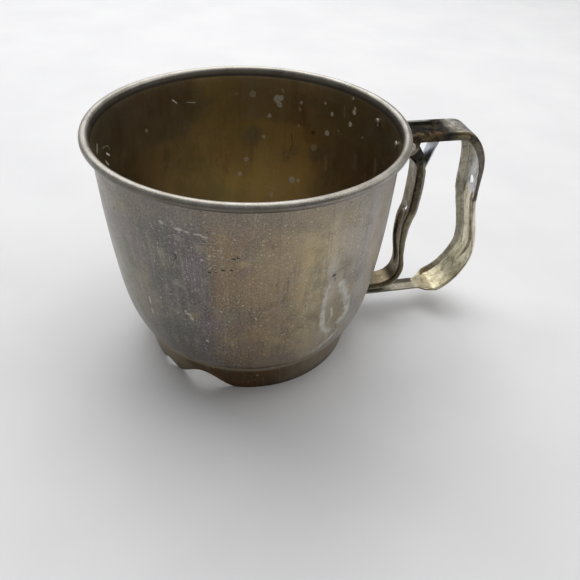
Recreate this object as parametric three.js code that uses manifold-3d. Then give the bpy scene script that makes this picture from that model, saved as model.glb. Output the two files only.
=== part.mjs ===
// Squeeze-handle flour sifter: a drawn sheet-steel cup on a scalloped foot ring,
// with a wire screen in its base, a bladed agitator above the screen, and a
// stamped channel handle that carries a sprung trigger. Squeezing the trigger
// pulls a wire link, which swings the agitator over the screen.
//
// Millimetres, +Z up. The handle points along +X. The origin is the centre of
// the bounding box at the level the foot ring stands on; the cup's own axis is
// at X = -AXIS_SHIFT.

import * as THREE from 'three';
import { mergeVertices } from 'three/addons/utils/BufferGeometryUtils.js';
import Module from 'manifold-3d';

const wasm = await Module();
wasm.setup();

// ---------------------------------------------------------------- dimensions
// cup
const RIM_R = 66.5;            // outside of the rolled rim
const CUP_H = 106.7;           // top of the rolled rim
const BEAD_R = 1.8;            // rolled rim, outside radius of its section
const BEAD_IN = 1.2;           // rolled rim, inside radius of its section
const WIRE_R = 0.85;           // wire in the rolled rim
const WALL_T = 0.7;            // cup sheet
const LEDGE_Z = 15.3;          // underside of the cup's turned-in lower edge
const LEDGE_T = 0.6;
const LEDGE_R = 46.8;          // edge of the sieve opening
// outside of the cup wall, [height, radius]
const WALL = [
  [15.3, 50.9], [15.9, 51.6], [17.2, 52.8], [20.0, 54.3], [24.2, 55.9],
  [30.0, 57.5], [38.5, 59.0], [52.5, 60.5], [72.0, 61.9], [98.5, 62.8],
  [102.6, 63.1],
];
// foot ring
const FOOT_R = 48.4;           // outside, at the surface it stands on
const FOOT_TOP_R = 51.1;
const FOOT_T = 0.8;
const ARCH_H = 8.0;            // height of each scallop
const ARCH_HALF = 15.4;        // half width of each scallop
const ARCH_AZ = [-124, -4, 116];
// screen and agitator
const SCREEN_R = 46.5;
const SCREEN_Z = [14.35, 14.85];
const BLADE_Z = [16.0, 16.8];
const BLADE_R = 44.0;
const BLADE_W = 9.0;
const RIB_Z = 17.4;
const CRANK_R = 15.0;          // link hole, from the spindle
const CRANK_AZ = -116.3;       // its direction with the trigger released
// link
const LINK_R = 1.0;
const LINK_Z = 18.8;
const HOOK = [61.0, 0.78];     // outer hook, with the trigger released
// handle strap
const STRAP_W = 15.0;
const STRAP_T = 0.9;
const STRAP_TOP = 99.7;        // upper face of the strap beside the cup
const LOWER_W = 8.0;           // narrow lower strap
const LOWER_Z = [9.9, 10.8];
const GRIP_X = 115.0;          // furthest point of the grip
const GRIP_W = 18.0;           // width of the grip's lower half, where its flanges splay
// trigger
const TRIG_W = 10.4;
const TRIG_EAR_W = 12.6;
const TRIG_T = 0.9;
const PIVOT = [69.5, 94.0];    // X and Z of the trigger's pin
const PIN_R = 1.2;
const PIN_HOLE_R = 1.5;
// leaf spring
const SPRING_W = 7.6;
const SPRING_T = 0.6;
const SPRING_RIVET_X = 91.0;
// rivets
const UP_RIVET_AZ = 11.05, UP_RIVET_Z = 97.5, UP_SHANK = 1.3;
const LO_RIVET_AZ = 9.5, LO_RIVET_Z = 11.6, LO_SHANK = 1.0;

const AXIS_SHIFT = (GRIP_X - RIM_R) / 2;   // 24.25

// ------------------------------------------------------------------- helpers
const rad = THREE.MathUtils.degToRad;

function outward(geo) {
  // a plain indexed body of positions only, with its faces pointing out
  geo.deleteAttribute('normal');
  geo.deleteAttribute('uv');
  const g = mergeVertices(geo, 1e-4);
  const p = g.attributes.position, ix = g.index.array;
  const keep = [];
  let vol = 0;
  for (let i = 0; i < ix.length; i += 3) {
    const a = ix[i], b = ix[i + 1], c = ix[i + 2];
    if (a === b || b === c || a === c) continue;
    keep.push(a, b, c);
    vol += p.getX(a) * (p.getY(b) * p.getZ(c) - p.getZ(b) * p.getY(c))
         - p.getY(a) * (p.getX(b) * p.getZ(c) - p.getZ(b) * p.getX(c))
         + p.getZ(a) * (p.getX(b) * p.getY(c) - p.getY(b) * p.getX(c));
  }
  if (vol < 0) for (let i = 0; i < keep.length; i += 3) {
    const t = keep[i + 1]; keep[i + 1] = keep[i + 2]; keep[i + 2] = t;
  }
  g.setIndex(keep);
  return g;
}

function solid(geo) {
  const g = outward(geo);
  return new wasm.Manifold(new wasm.Mesh({
    numProp: 3,
    vertProperties: new Float32Array(g.attributes.position.array),
    triVerts: new Uint32Array(g.index.array),
  }));
}

function geometryOf(body) {
  const m = body.getMesh();
  const g = new THREE.BufferGeometry();
  g.setAttribute('position', new THREE.BufferAttribute(new Float32Array(m.vertProperties), 3));
  g.setIndex(new THREE.BufferAttribute(new Uint32Array(m.triVerts), 1));
  return g;
}

// a turned body from [radius, height] points, about Z
function turned(points, segments) {
  const closed = points[0][0] > 1e-9;
  const v = points.map(([r, z]) => new THREE.Vector2(r, z));
  if (closed) v.push(v[0].clone());
  const g = new THREE.LatheGeometry(v, segments);
  g.rotateX(Math.PI / 2);
  return g;
}

// a plate whose outline lies in XZ, centred on Y
function plateXZ(points, width, y = 0) {
  const s = new THREE.Shape(points.map(([x, z]) => new THREE.Vector2(x, z)));
  const g = new THREE.ExtrudeGeometry(s, { depth: width, bevelEnabled: false, steps: 1 });
  g.rotateX(Math.PI / 2);
  g.translate(0, y + width / 2, 0);
  return g;
}

// a plate whose outline lies in XY, from z0 to z1
function plateXY(points, z0, z1) {
  const s = new THREE.Shape(points.map(([x, y]) => new THREE.Vector2(x, y)));
  const g = new THREE.ExtrudeGeometry(s, { depth: z1 - z0, bevelEnabled: false, steps: 1 });
  g.translate(0, 0, z0);
  return g;
}

function box(x0, x1, y0, y1, z0, z1) {
  const g = new THREE.BoxGeometry(x1 - x0, y1 - y0, z1 - z0);
  g.translate((x0 + x1) / 2, (y0 + y1) / 2, (z0 + z1) / 2);
  return g;
}

// a round bar between two points
function bar(r, a, b, segments = 12) {
  const A = new THREE.Vector3(...a), B = new THREE.Vector3(...b);
  const d = B.clone().sub(A);
  const g = new THREE.CylinderGeometry(r, r, d.length(), segments);
  g.applyQuaternion(new THREE.Quaternion().setFromUnitVectors(
    new THREE.Vector3(0, 1, 0), d.clone().normalize()));
  g.translate((A.x + B.x) / 2, (A.y + B.y) / 2, (A.z + B.z) / 2);
  return g;
}

// a bar that points outwards from the cup's axis
function radialBar(r, az, z, r0, r1, segments = 12) {
  const c = Math.cos(rad(az)), s = Math.sin(rad(az));
  return bar(r, [r0 * c, r0 * s, z], [r1 * c, r1 * s, z], segments);
}

// a rivet along +X from [radius, x] points, turned to a direction about Z
function radialRivet(points, az, z, segments = 12) {
  const g = new THREE.LatheGeometry(points.map(([r, x]) => new THREE.Vector2(r, x)), segments);
  g.rotateZ(-Math.PI / 2);           // the profile's axis now points along +X
  g.rotateZ(rad(az));
  g.translate(0, 0, z);
  return g;
}

// smooth open curve through points
function smooth(points, n) {
  const c = new THREE.SplineCurve(points.map(([a, b]) => new THREE.Vector2(a, b)));
  return c.getSpacedPoints(n).map((p) => [p.x, p.y]);
}

// the same curve moved sideways by d, to the left of its direction
function beside(points, d) {
  return points.map((p, i) => {
    const a = points[Math.max(i - 1, 0)], b = points[Math.min(i + 1, points.length - 1)];
    const l = Math.hypot(b[0] - a[0], b[1] - a[1]);
    return [p[0] - d * (b[1] - a[1]) / l, p[1] + d * (b[0] - a[0]) / l];
  });
}

const group = new THREE.Group();
const cup = new THREE.Group();            // everything is laid out about the cup's axis
cup.position.x = -AXIS_SHIFT;
group.add(cup);

function add(name, geo, color, roughness, metalness) {
  const mesh = new THREE.Mesh(
    geo instanceof THREE.BufferGeometry ? outward(geo) : geometryOf(geo),
    new THREE.MeshStandardMaterial({ color, roughness, metalness }));
  mesh.name = name;
  cup.add(mesh);
  return mesh;
}

// ----------------------------------------------------------------- cup shell
{
  const cr = RIM_R - BEAD_R, cz = CUP_H - BEAD_R;    // centre of the rolled rim
  const inner = WALL.slice(1).map(([z, r], i, all) => {
    const a = all[Math.max(i - 1, 0)], b = all[Math.min(i + 1, all.length - 1)];
    const l = Math.hypot(b[0] - a[0], b[1] - a[1]);
    return [r - WALL_T * (b[0] - a[0]) / l, z + WALL_T * (b[1] - a[1]) / l];
  }).filter(([, z]) => z > LEDGE_Z + LEDGE_T + 0.5);
  const arc = (R, from, to, n) => Array.from({ length: n + 1 }, (_, i) => {
    const t = rad(from + (to - from) * i / n);
    return [cr + R * Math.cos(t), cz + R * Math.sin(t)];
  });
  const profile = [
    [LEDGE_R, LEDGE_Z], ...WALL.map(([z, r]) => [r, z]),
    ...arc(BEAD_IN, 180, -115, 6),
    ...arc(BEAD_R, -120, 180, 10),
    ...inner.reverse(),
    [50.9, LEDGE_Z + LEDGE_T], [LEDGE_R, LEDGE_Z + LEDGE_T],
  ];
  let shell = solid(turned(profile, 48));
  shell = shell.subtract(solid(box(49, 58, -6, 6, 16.9, 20.7)));      // slot for the link
  for (const s of [-1, 1])
    shell = shell.subtract(solid(radialBar(UP_SHANK + 0.3, s * UP_RIVET_AZ, UP_RIVET_Z, 58, 68)));
  add('cup_shell', shell, 0x8a8276, 0.38, 0.9);

  const wire = new THREE.TorusGeometry(cr, WIRE_R, 6, 40);
  wire.translate(0, 0, cz);
  add('rim_wire', wire, 0x6f6a62, 0.5, 0.9);
}

// ----------------------------------------------------------------- foot ring
{
  let ring = solid(turned([
    [FOOT_R, 0], [FOOT_TOP_R, 14.5], [FOOT_TOP_R - 0.1, 15.0], [FOOT_TOP_R - 0.8, 15.0],
    [50.15, 13.9], [LEDGE_R, 13.9], [LEDGE_R, 13.3], [50.05, 13.3], [FOOT_R - FOOT_T, 0],
  ], 48));
  const arch = [];
  for (let i = 0; i <= 12; i++) {
    const u = -1 + 2 * i / 12;
    arch.push([u * ARCH_HALF, ARCH_H * Math.cos(u * Math.PI / 2) ** 2]);
  }
  arch.push([ARCH_HALF, -1], [-ARCH_HALF, -1]);
  for (const az of ARCH_AZ) {
    const g = plateXZ(arch, 14);       // outline across, thickness along Y
    g.rotateZ(-Math.PI / 2);           // across -> Y, thickness -> X
    g.translate(48, 0, 0);
    g.rotateZ(rad(az));
    ring = ring.subtract(solid(g));
  }
  for (const s of [-1, 1])
    ring = ring.subtract(solid(radialBar(LO_SHANK + 0.3, s * LO_RIVET_AZ, LO_RIVET_Z, 44, 56)));
  add('base_ring', ring, 0x57503f, 0.5, 0.85);
}

// -------------------------------------------------------------------- screen
add('sieve_screen', turned([
  [2.0, SCREEN_Z[0]], [SCREEN_R, SCREEN_Z[0]], [SCREEN_R, SCREEN_Z[1]], [2.0, SCREEN_Z[1]],
], 40), 0x8d8a80, 0.45, 0.9);
add('screen_ring', turned([
  [46.8, 14.2], [49.9, 14.2], [49.9, 15.0], [46.8, 15.0],
], 40), 0x7d786c, 0.45, 0.9);

// ----------------------------------------------------- spindle and agitator
add('spindle_rivet', turned([
  [0, 11.6], [2.2, 11.8], [3.4, 12.4], [3.4, 12.9], [1.6, 12.9], [1.6, 20.7],
  [3.0, 20.7], [2.8, 21.2], [1.6, 21.7], [0, 21.8],
], 16), 0x9a958a, 0.4, 0.9);
add('spindle_washer_lower', turned([[1.9, 13.2], [7.0, 13.2], [7.0, 14.05], [1.9, 14.05]], 16), 0x8a867c, 0.45, 0.9);
add('spindle_washer_upper', turned([[1.9, 15.15], [6.0, 15.15], [6.0, 15.7], [1.9, 15.7]], 16), 0x8a867c, 0.45, 0.9);
add('spindle_washer_top', turned([[1.9, 19.8], [4.4, 19.8], [4.4, 20.4], [1.9, 20.4]], 16), 0x8a867c, 0.45, 0.9);
add('agitator_hub', turned([[1.9, 17.1], [4.6, 17.1], [4.6, 17.8], [3.4, 17.8], [3.4, 19.5], [1.9, 19.5]], 16), 0x8a867c, 0.45, 0.9);
{
  let blades = solid(turned([[1.9, BLADE_Z[0]], [10, BLADE_Z[0]], [10, BLADE_Z[1]], [1.9, BLADE_Z[1]]], 24));
  for (let k = 0; k < 4; k++) {
    const h = BLADE_W / 2;
    const arm = plateXY([
      [4, -h], [BLADE_R - 6, -h * 0.86], [BLADE_R - 1.6, -h * 0.5], [BLADE_R, 0],
      [BLADE_R - 1.6, h * 0.5], [BLADE_R - 6, h * 0.86], [4, h],
    ], BLADE_Z[0], BLADE_Z[1]);
    const slot = plateXY([
      [21, -1.6], [BLADE_R - 9, -1.3], [BLADE_R - 8, 0], [BLADE_R - 9, 1.3], [21, 1.6], [20, 0],
    ], BLADE_Z[0] - 1, BLADE_Z[1] + 2);
    const turn = rad(CRANK_AZ + 90 * k);
    for (const g of [arm, slot]) g.rotateZ(turn);
    blades = blades.add(solid(arm)).subtract(solid(slot));
    // the turned-up edges of the arm
    for (const s of [-1, 1]) {
      const y = s * (h - 0.45);
      const rib = plateXY([[20, y - 0.35], [36, s * (h * 0.88 - 0.45) - 0.35],
        [36, s * (h * 0.88 - 0.45) + 0.35], [20, y + 0.35]], BLADE_Z[1] - 0.3, RIB_Z);
      rib.rotateZ(turn);
      blades = blades.add(solid(rib));
    }
  }
  blades = blades.subtract(solid(bar(1.9, [0, 0, 10], [0, 0, 22], 16)));
  const c = [CRANK_R * Math.cos(rad(CRANK_AZ)), CRANK_R * Math.sin(rad(CRANK_AZ))];
  blades = blades.subtract(solid(bar(LINK_R + 0.3, [...c, 10], [...c, 22])));
  add('agitator_blades', blades, 0x8a867c, 0.4, 0.9);

  // wire link, hooked down through the crank arm and through the trigger's toe
  const p = [
    [c[0], c[1], 15.45], [c[0], c[1], 17.2], [c[0], c[1], LINK_Z - 0.9],
  ];
  const q = [HOOK[0], HOOK[1], 13.4];
  const dir = new THREE.Vector2(HOOK[0] - c[0], HOOK[1] - c[1]).normalize();
  const path = new THREE.CurvePath();
  const V = (x, y, z) => new THREE.Vector3(x, y, z);
  const bend = 1.6;
  const a0 = V(...p[0]), a1 = V(c[0], c[1], LINK_Z - bend), ac = V(c[0], c[1], LINK_Z),
    a2 = V(c[0] + dir.x * bend, c[1] + dir.y * bend, LINK_Z);
  const b2 = V(HOOK[0] - dir.x * bend, HOOK[1] - dir.y * bend, LINK_Z), bc = V(HOOK[0], HOOK[1], LINK_Z),
    b1 = V(HOOK[0], HOOK[1], LINK_Z - bend), b0 = V(...q);
  const pts = [a0];
  pts.push(...new THREE.QuadraticBezierCurve3(a1, ac, a2).getPoints(4));
  pts.push(...new THREE.QuadraticBezierCurve3(b2, bc, b1).getPoints(4));
  pts.push(b0);
  for (let i = 0; i < pts.length - 1; i++) path.add(new THREE.LineCurve3(pts[i], pts[i + 1]));
  // the path's own points, so that each bend keeps its section
  class Through extends THREE.Curve {
    getPoint(t, out = new THREE.Vector3()) {
      const f = t * (pts.length - 1), i = Math.min(Math.floor(f), pts.length - 2);
      return out.copy(pts[i]).lerp(pts[i + 1], f - i);
    }
    getPointAt(t, out) { return this.getPoint(t, out); }
    getTangent(t, out = new THREE.Vector3()) {
      const f = t * (pts.length - 1), i = Math.round(f);
      const a = pts[Math.max(i - 1, 0)], b = pts[Math.min(i + 1, pts.length - 1)];
      return out.copy(b).sub(a).normalize();
    }
    getTangentAt(t, out) { return this.getTangent(t, out); }
  }
  const section = new THREE.Shape(Array.from({ length: 8 }, (_, i) =>
    new THREE.Vector2(LINK_R * Math.cos(i * Math.PI / 4), LINK_R * Math.sin(i * Math.PI / 4))));
  const link = new THREE.ExtrudeGeometry(section, { steps: pts.length - 1, extrudePath: new Through(), bevelEnabled: false });
  add('drive_link', link, 0x9a958a, 0.4, 0.9);
}

// -------------------------------------------------------------- handle strap
// outer face of the channel's web, from the cup over the top and down to the toe
const WEB = [
  [63.4, STRAP_TOP], [93.0, STRAP_TOP],
  ...smooth([[95.6, 99.6], [98.7, 98.4], [102.5, 94.9], [105.4, 90.8], [107.3, 86.5], [108.3, 81.9],
    [108.6, 77.0], [108.6, 72.5], [108.8, 67.9], [109.6, 62.0], [111.0, 55.8], [112.7, 49.5],
    [114.1, 43.8], [GRIP_X - 0.02, 37.4], [114.8, 30.8], [112.7, 24.6], [109.0, 18.4], [104.4, 13.5],
    [99.3, 10.4]], 30),
  [97.4, LOWER_Z[0]],
];
// free edges of the flanges, the same way round
const FREE = [
  [74.8, 95.9], [89.0, 95.9], [93.2, 96.1],
  ...smooth([[95.4, 96.3], [98.6, 94.5], [101.1, 91.6], [102.7, 87.6], [103.8, 81.6], [104.4, 75.9],
    [104.8, 70.1], [105.7, 64.1], [107.9, 54.8], [110.4, 46.6], [112.4, 40.7], [112.8, 35.0],
    [111.4, 29.8], [107.5, 23.3], [103.1, 17.9], [98.4, 13.4]], 24),
  [96.4, 11.6],
];
{
  const clampX = (pts) => pts.map(([x, z]) => [Math.min(x, GRIP_X), z]);
  const web = clampX(WEB);
  web[web.reduce((m, p, i) => (p[0] > web[m][0] ? i : m), 0)][0] = GRIP_X;
  // ears round the trigger's pin
  const ear = [];
  for (let i = 0; i <= 8; i++) {
    const t = rad(-200 + 160 * i / 8);
    ear.push([PIVOT[0] + 4.4 * Math.cos(t), PIVOT[1] + 4.4 * Math.sin(t)]);
  }
  const outline = [...web, ...FREE.slice().reverse(), ...ear.slice().reverse(), [63.4, 95.9]];
  let strap = solid(plateXZ(outline, STRAP_W));
  // the hollow of the channel
  const inside = beside(web, -STRAP_T);
  inside[0] = [60, STRAP_TOP - STRAP_T];
  inside[inside.length - 1] = [96.4, LOWER_Z[1]];
  inside.push([90, LOWER_Z[1]], [80, 40], [60, 80]);
  strap = strap.subtract(solid(plateXZ(inside, STRAP_W - 2 * STRAP_T)));
  // the lower half is spread, where the flanges splay
  {
    const g = geometryOf(strap);
    const p = g.attributes.position;
    for (let i = 0; i < p.count; i++) {
      const k = 1 - THREE.MathUtils.smoothstep(p.getZ(i), 60, 70);
      p.setY(i, p.getY(i) * (1 + (GRIP_W / STRAP_W - 1) * k));
    }
    strap = solid(g);
  }
  // narrow lower strap with its shoulders
  strap = strap.add(solid(plateXY([
    [50.6, -4], [90.8, -4], [96.9, -GRIP_W / 2], [98.0, -GRIP_W / 2],
    [98.0, GRIP_W / 2], [96.9, GRIP_W / 2], [90.8, 4], [50.6, 4],
  ], LOWER_Z[0], LOWER_Z[1])));
  // upper tab: a piece of a band round the cup, with a wing each side
  let band = solid(turned([[63.15, 93.4], [64.05, 93.4], [64.05, 101.3], [63.15, 101.3]], 72));
  band = band.intersect(solid(plateXZ([[50, 93], [70, 93], [70, 102], [50, 102]], 33)));
  strap = strap.add(band);
  // lower tab on the foot ring
  const rr = (z) => FOOT_R + (FOOT_TOP_R - FOOT_R) * z / 14.5;
  let tab = solid(turned([[rr(9.9) + 0.35, 9.9], [rr(9.9) + 1.25, 9.9], [rr(14.9) + 1.25, 14.9], [rr(14.9) + 0.35, 14.9]], 72));
  tab = tab.intersect(solid(plateXZ([[40, 9], [60, 9], [60, 16], [40, 16]], 23)));
  strap = strap.add(tab);
  // nothing of the strap runs into the cup or the ring
  strap = strap.subtract(solid(turned([[0, 5], [rr(5) + 0.35, 5], [rr(14.9) + 0.35, 14.9], [rr(14.9) + 0.35, 16], [0, 16]], 72)));
  strap = strap.subtract(solid(turned([[0, 90], [63.15, 90], [63.15, 104], [0, 104]], 72)));
  for (const s of [-1, 1]) {
    strap = strap.subtract(solid(radialBar(UP_SHANK + 0.3, s * UP_RIVET_AZ, UP_RIVET_Z, 58, 68)));
    strap = strap.subtract(solid(radialBar(LO_SHANK + 0.3, s * LO_RIVET_AZ, LO_RIVET_Z, 44, 58)));
  }
  strap = strap.subtract(solid(bar(PIN_HOLE_R, [PIVOT[0], -10, PIVOT[1]], [PIVOT[0], 10, PIVOT[1]])));
  strap = strap.subtract(solid(bar(1.3, [SPRING_RIVET_X, 0, 97], [SPRING_RIVET_X, 0, 102])));
  strap = strap.subtract(solid(bar(2.1, [104, 0, 72.0], [113, 0, 71.4])));     // hanging hole
  add('handle_strap', strap, 0x6d6554, 0.4, 0.9);
}

// -------------------------------------------------------------- strap rivets
for (const s of [-1, 1]) {
  add(s < 0 ? 'upper_rivet_front' : 'upper_rivet_back', radialRivet([
    [0, 60.95], [1.2, 61.05], [1.9, 61.45], [1.9, 61.75], [UP_SHANK, 61.75], [UP_SHANK, 64.4],
    [2.3, 64.4], [2.0, 65.0], [1.1, 65.4], [0, 65.5],
  ], s * UP_RIVET_AZ, UP_RIVET_Z), 0x9a948a, 0.4, 0.9);
}
{
  const w = FOOT_R + (FOOT_TOP_R - FOOT_R) * LO_RIVET_Z / 14.5;       // 50.56
  for (const s of [-1, 1]) {
    add(s < 0 ? 'lower_rivet_front' : 'lower_rivet_back', radialRivet([
      [0, w - 1.75], [0.9, w - 1.7], [1.45, w - 1.4], [1.45, w - 1.25], [LO_SHANK, w - 1.25], [LO_SHANK, w + 1.75],
      [1.9, w + 1.75], [1.6, w + 2.2], [0.9, w + 2.5], [0, w + 2.55],
    ], s * LO_RIVET_AZ, LO_RIVET_Z), 0x9a948a, 0.4, 0.9);
  }
}

// ------------------------------------------------------------------- trigger
// cup-side face of the trigger's web, from the pin down to the toe
const T_WEB = [
  [74.9, 86.6],
  ...smooth([[75.5, 84.2], [76.2, 80.5], [76.5, 75.5], [76.5, 69.0], [76.3, 63.0], [76.0, 58.9],
    [75.0, 55.6], [74.4, 52.2], [74.2, 46.5], [74.4, 40.5], [75.2, 35.3], [76.1, 30.2], [76.2, 25.6],
    [75.0, 21.6], [72.4, 18.8], [69.0, 17.5], [66.0, 17.2]], 26),
  [57.6, 17.2],
];
// free edges of its flanges
const T_FREE = [
  [73.0, 94.9], [74.6, 93.6], [77.0, 90.0], [79.2, 85.2],
  ...smooth([[80.0, 82.0], [80.6, 77.2], [80.5, 71.6], [80.2, 66.0], [79.9, 60.4], [79.1, 55.9],
    [77.8, 52.0], [77.1, 47.5], [76.9, 42.7], [77.1, 37.1], [77.7, 32.0], [78.0, 27.0], [77.4, 22.2],
    [75.0, 18.2], [71.4, 15.6], [67.5, 14.4]], 24),
  [57.6, 14.0],
];
{
  const lobe = [];
  for (let i = 0; i <= 9; i++) {
    const t = rad(20 + 200 * i / 9);
    lobe.push([PIVOT[0] + 3.7 * Math.cos(t), PIVOT[1] + 3.7 * Math.sin(t)]);
  }
  const outline = [...lobe, ...T_WEB, ...T_FREE.slice().reverse()];
  let t = solid(plateXZ(outline, TRIG_W));
  const inside = beside(T_WEB, TRIG_T);
  inside[0] = [inside[0][0] - 0.2, 87.4];
  inside[inside.length - 1] = [55, 17.2 - TRIG_T];
  const hollow = [[60, 102], [60, 88.6], ...[[72.6, 88.6]], ...inside, [55, 8], [90, 8], [90, 102]];
  t = t.subtract(solid(plateXZ(hollow, TRIG_W - 2 * TRIG_T)));
  // the ears spread to fill the space between the strap's own ears
  const g = geometryOf(t);
  const p = g.attributes.position;
  for (let i = 0; i < p.count; i++) {
    const z = p.getZ(i), k = THREE.MathUtils.smoothstep(z, 82.5, 90.5);
    const y = p.getY(i), move = (TRIG_EAR_W - TRIG_W) / 2 * k;
    p.setY(i, y + Math.sign(y) * move);
  }
  t = solid(g);
  t = t.subtract(solid(bar(PIN_HOLE_R, [PIVOT[0], -10, PIVOT[1]], [PIVOT[0], 10, PIVOT[1]])));
  t = t.subtract(solid(bar(1.9, [70, 0, 59.3], [79, 0, 59.6])));               // hole in the web
  t = t.subtract(solid(box(HOOK[0] - 1.75, HOOK[0] + 1.75, -2.4, 2.4, 15, 19)));   // for the link's hook
  add('trigger_lever', t, 0x6a6250, 0.4, 0.9);
}
add('trigger_pivot_pin', (() => {
  const g = new THREE.LatheGeometry([
    [0, -9.0], [1.8, -8.8], [2.3, -8.2], [2.3, -7.8], [PIN_R, -7.8], [PIN_R, 7.8],
    [2.3, 7.8], [2.3, 8.2], [1.8, 8.8], [0, 9.0],
  ].map(([r, y]) => new THREE.Vector2(r, y)), 20);
  g.translate(PIVOT[0], 0, PIVOT[1]);
  return g;
})(), 0x8f897c, 0.4, 0.9);

// --------------------------------------------------------------- leaf spring
{
  const mid = [[93.6, 98.1], [88.4, 98.1],
    ...smooth([[87.0, 97.9], [85.6, 96.6], [84.4, 93.6], [83.2, 90.4], [82.3, 87.2], [81.4, 84.3],
      [80.4, 81.4], [79.1, 78.0], [78.2, 75.4], [77.95, 73.6]], 20), [78.1, 72.4]];
  const a = beside(mid, SPRING_T / 2), b = beside(mid, -SPRING_T / 2);
  let s = solid(plateXZ([...a, ...b.reverse()], SPRING_W));
  s = s.subtract(solid(bar(1.3, [SPRING_RIVET_X, 0, 97], [SPRING_RIVET_X, 0, 102])));
  add('leaf_spring', s, 0x5d6470, 0.3, 0.95);
}
{
  const g = turned([
    [0, 96.9], [1.4, 97.0], [1.9, 97.3], [1.9, 97.55], [1.0, 97.55],
    [1.0, STRAP_TOP], [0, STRAP_TOP],
  ], 16);
  g.translate(SPRING_RIVET_X, 0, 0);
  add('leaf_spring_rivet', g, 0x8f897c, 0.4, 0.9);
}

export default group;
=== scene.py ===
import bpy, bmesh, math
from mathutils import Vector, Matrix, noise


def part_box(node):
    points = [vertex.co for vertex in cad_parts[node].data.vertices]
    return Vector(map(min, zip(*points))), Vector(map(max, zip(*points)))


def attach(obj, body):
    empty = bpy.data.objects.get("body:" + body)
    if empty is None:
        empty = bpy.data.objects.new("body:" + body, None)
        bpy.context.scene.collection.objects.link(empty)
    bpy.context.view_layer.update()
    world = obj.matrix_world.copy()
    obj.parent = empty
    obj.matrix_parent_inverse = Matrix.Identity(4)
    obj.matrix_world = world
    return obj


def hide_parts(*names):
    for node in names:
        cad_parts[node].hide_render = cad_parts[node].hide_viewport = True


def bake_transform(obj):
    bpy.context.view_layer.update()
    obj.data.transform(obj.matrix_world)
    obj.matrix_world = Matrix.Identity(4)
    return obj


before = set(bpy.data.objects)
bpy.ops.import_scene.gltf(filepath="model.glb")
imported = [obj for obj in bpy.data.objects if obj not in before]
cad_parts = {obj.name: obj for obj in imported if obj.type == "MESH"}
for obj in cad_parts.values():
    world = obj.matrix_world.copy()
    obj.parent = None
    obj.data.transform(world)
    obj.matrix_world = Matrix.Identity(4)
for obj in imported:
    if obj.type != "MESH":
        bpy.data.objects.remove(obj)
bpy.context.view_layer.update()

MM = 0.001
scene = bpy.context.scene
lo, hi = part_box("cup_shell")
AX = (lo.x + hi.x) / 2            # the cup's own axis, along X
TOP = hi.z
EDGE = hi.x - AX                  # outside radius of the rolled rim


# =====================================================================
# small helpers
# =====================================================================
def lerp(a, b, t):
    return a + (b - a) * t


def smoothstep(a, b, x):
    t = min(max((x - a) / (b - a), 0.0), 1.0)
    return t * t * (3 - 2 * t)


def table(points, x):
    """smooth value at x of [(x, value)] pairs"""
    if x <= points[0][0]:
        return points[0][1]
    for (a, va), (b, vb) in zip(points, points[1:]):
        if x <= b:
            t = (x - a) / (b - a)
            return lerp(va, vb, t * t * (3 - 2 * t))
    return points[-1][1]


def catmull(points, step):
    """a smooth open curve through 2-D points, at even spacing"""
    P = [Vector(p) for p in points]
    P = [2 * P[0] - P[1]] + P + [2 * P[-1] - P[-2]]
    fine = []
    for i in range(1, len(P) - 2):
        p0, p1, p2, p3 = P[i - 1], P[i], P[i + 1], P[i + 2]
        t0 = 0.0
        t1 = t0 + max((p1 - p0).length, 1e-9) ** 0.5
        t2 = t1 + max((p2 - p1).length, 1e-9) ** 0.5
        t3 = t2 + max((p3 - p2).length, 1e-9) ** 0.5
        for k in range(16):
            t = lerp(t1, t2, k / 16)
            a1 = p0 * ((t1 - t) / (t1 - t0)) + p1 * ((t - t0) / (t1 - t0))
            a2 = p1 * ((t2 - t) / (t2 - t1)) + p2 * ((t - t1) / (t2 - t1))
            a3 = p2 * ((t3 - t) / (t3 - t2)) + p3 * ((t - t2) / (t3 - t2))
            b1 = a1 * ((t2 - t) / (t2 - t0)) + a2 * ((t - t0) / (t2 - t0))
            b2 = a2 * ((t3 - t) / (t3 - t1)) + a3 * ((t - t1) / (t3 - t1))
            fine.append(b1 * ((t2 - t) / (t2 - t1)) + b2 * ((t - t1) / (t2 - t1)))
    fine.append(P[-2].copy())
    return resample(fine, step)


def resample(fine, step):
    d = [0.0]
    for a, b in zip(fine, fine[1:]):
        d.append(d[-1] + (b - a).length)
    n = max(int(round(d[-1] / step)), 2)
    out, j = [], 0
    for i in range(n + 1):
        s = d[-1] * i / n
        while j < len(d) - 2 and d[j + 1] < s:
            j += 1
        seg = d[j + 1] - d[j]
        out.append(fine[j].lerp(fine[j + 1], 0 if seg < 1e-12 else min((s - d[j]) / seg, 1)))
    return out


def mesh_object(name, verts, faces, mats=(), face_mats=None, angle=35, merge=True):
    me = bpy.data.meshes.new(name)
    me.from_pydata([tuple(v) for v in verts], [], faces)
    for m in mats:
        me.materials.append(m)
    if face_mats:
        me.polygons.foreach_set("material_index", face_mats)
    me.validate()
    o = bpy.data.objects.new(name, me)
    scene.collection.objects.link(o)
    if merge:
        bm = bmesh.new()
        bm.from_mesh(me)
        bmesh.ops.remove_doubles(bm, verts=bm.verts, dist=1e-7)
        bmesh.ops.recalc_face_normals(bm, faces=bm.faces)
        bm.to_mesh(me)
        bm.free()
    me.polygons.foreach_set("use_smooth", [True] * len(me.polygons))
    me.set_sharp_from_angle(angle=math.radians(angle))
    return o


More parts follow.
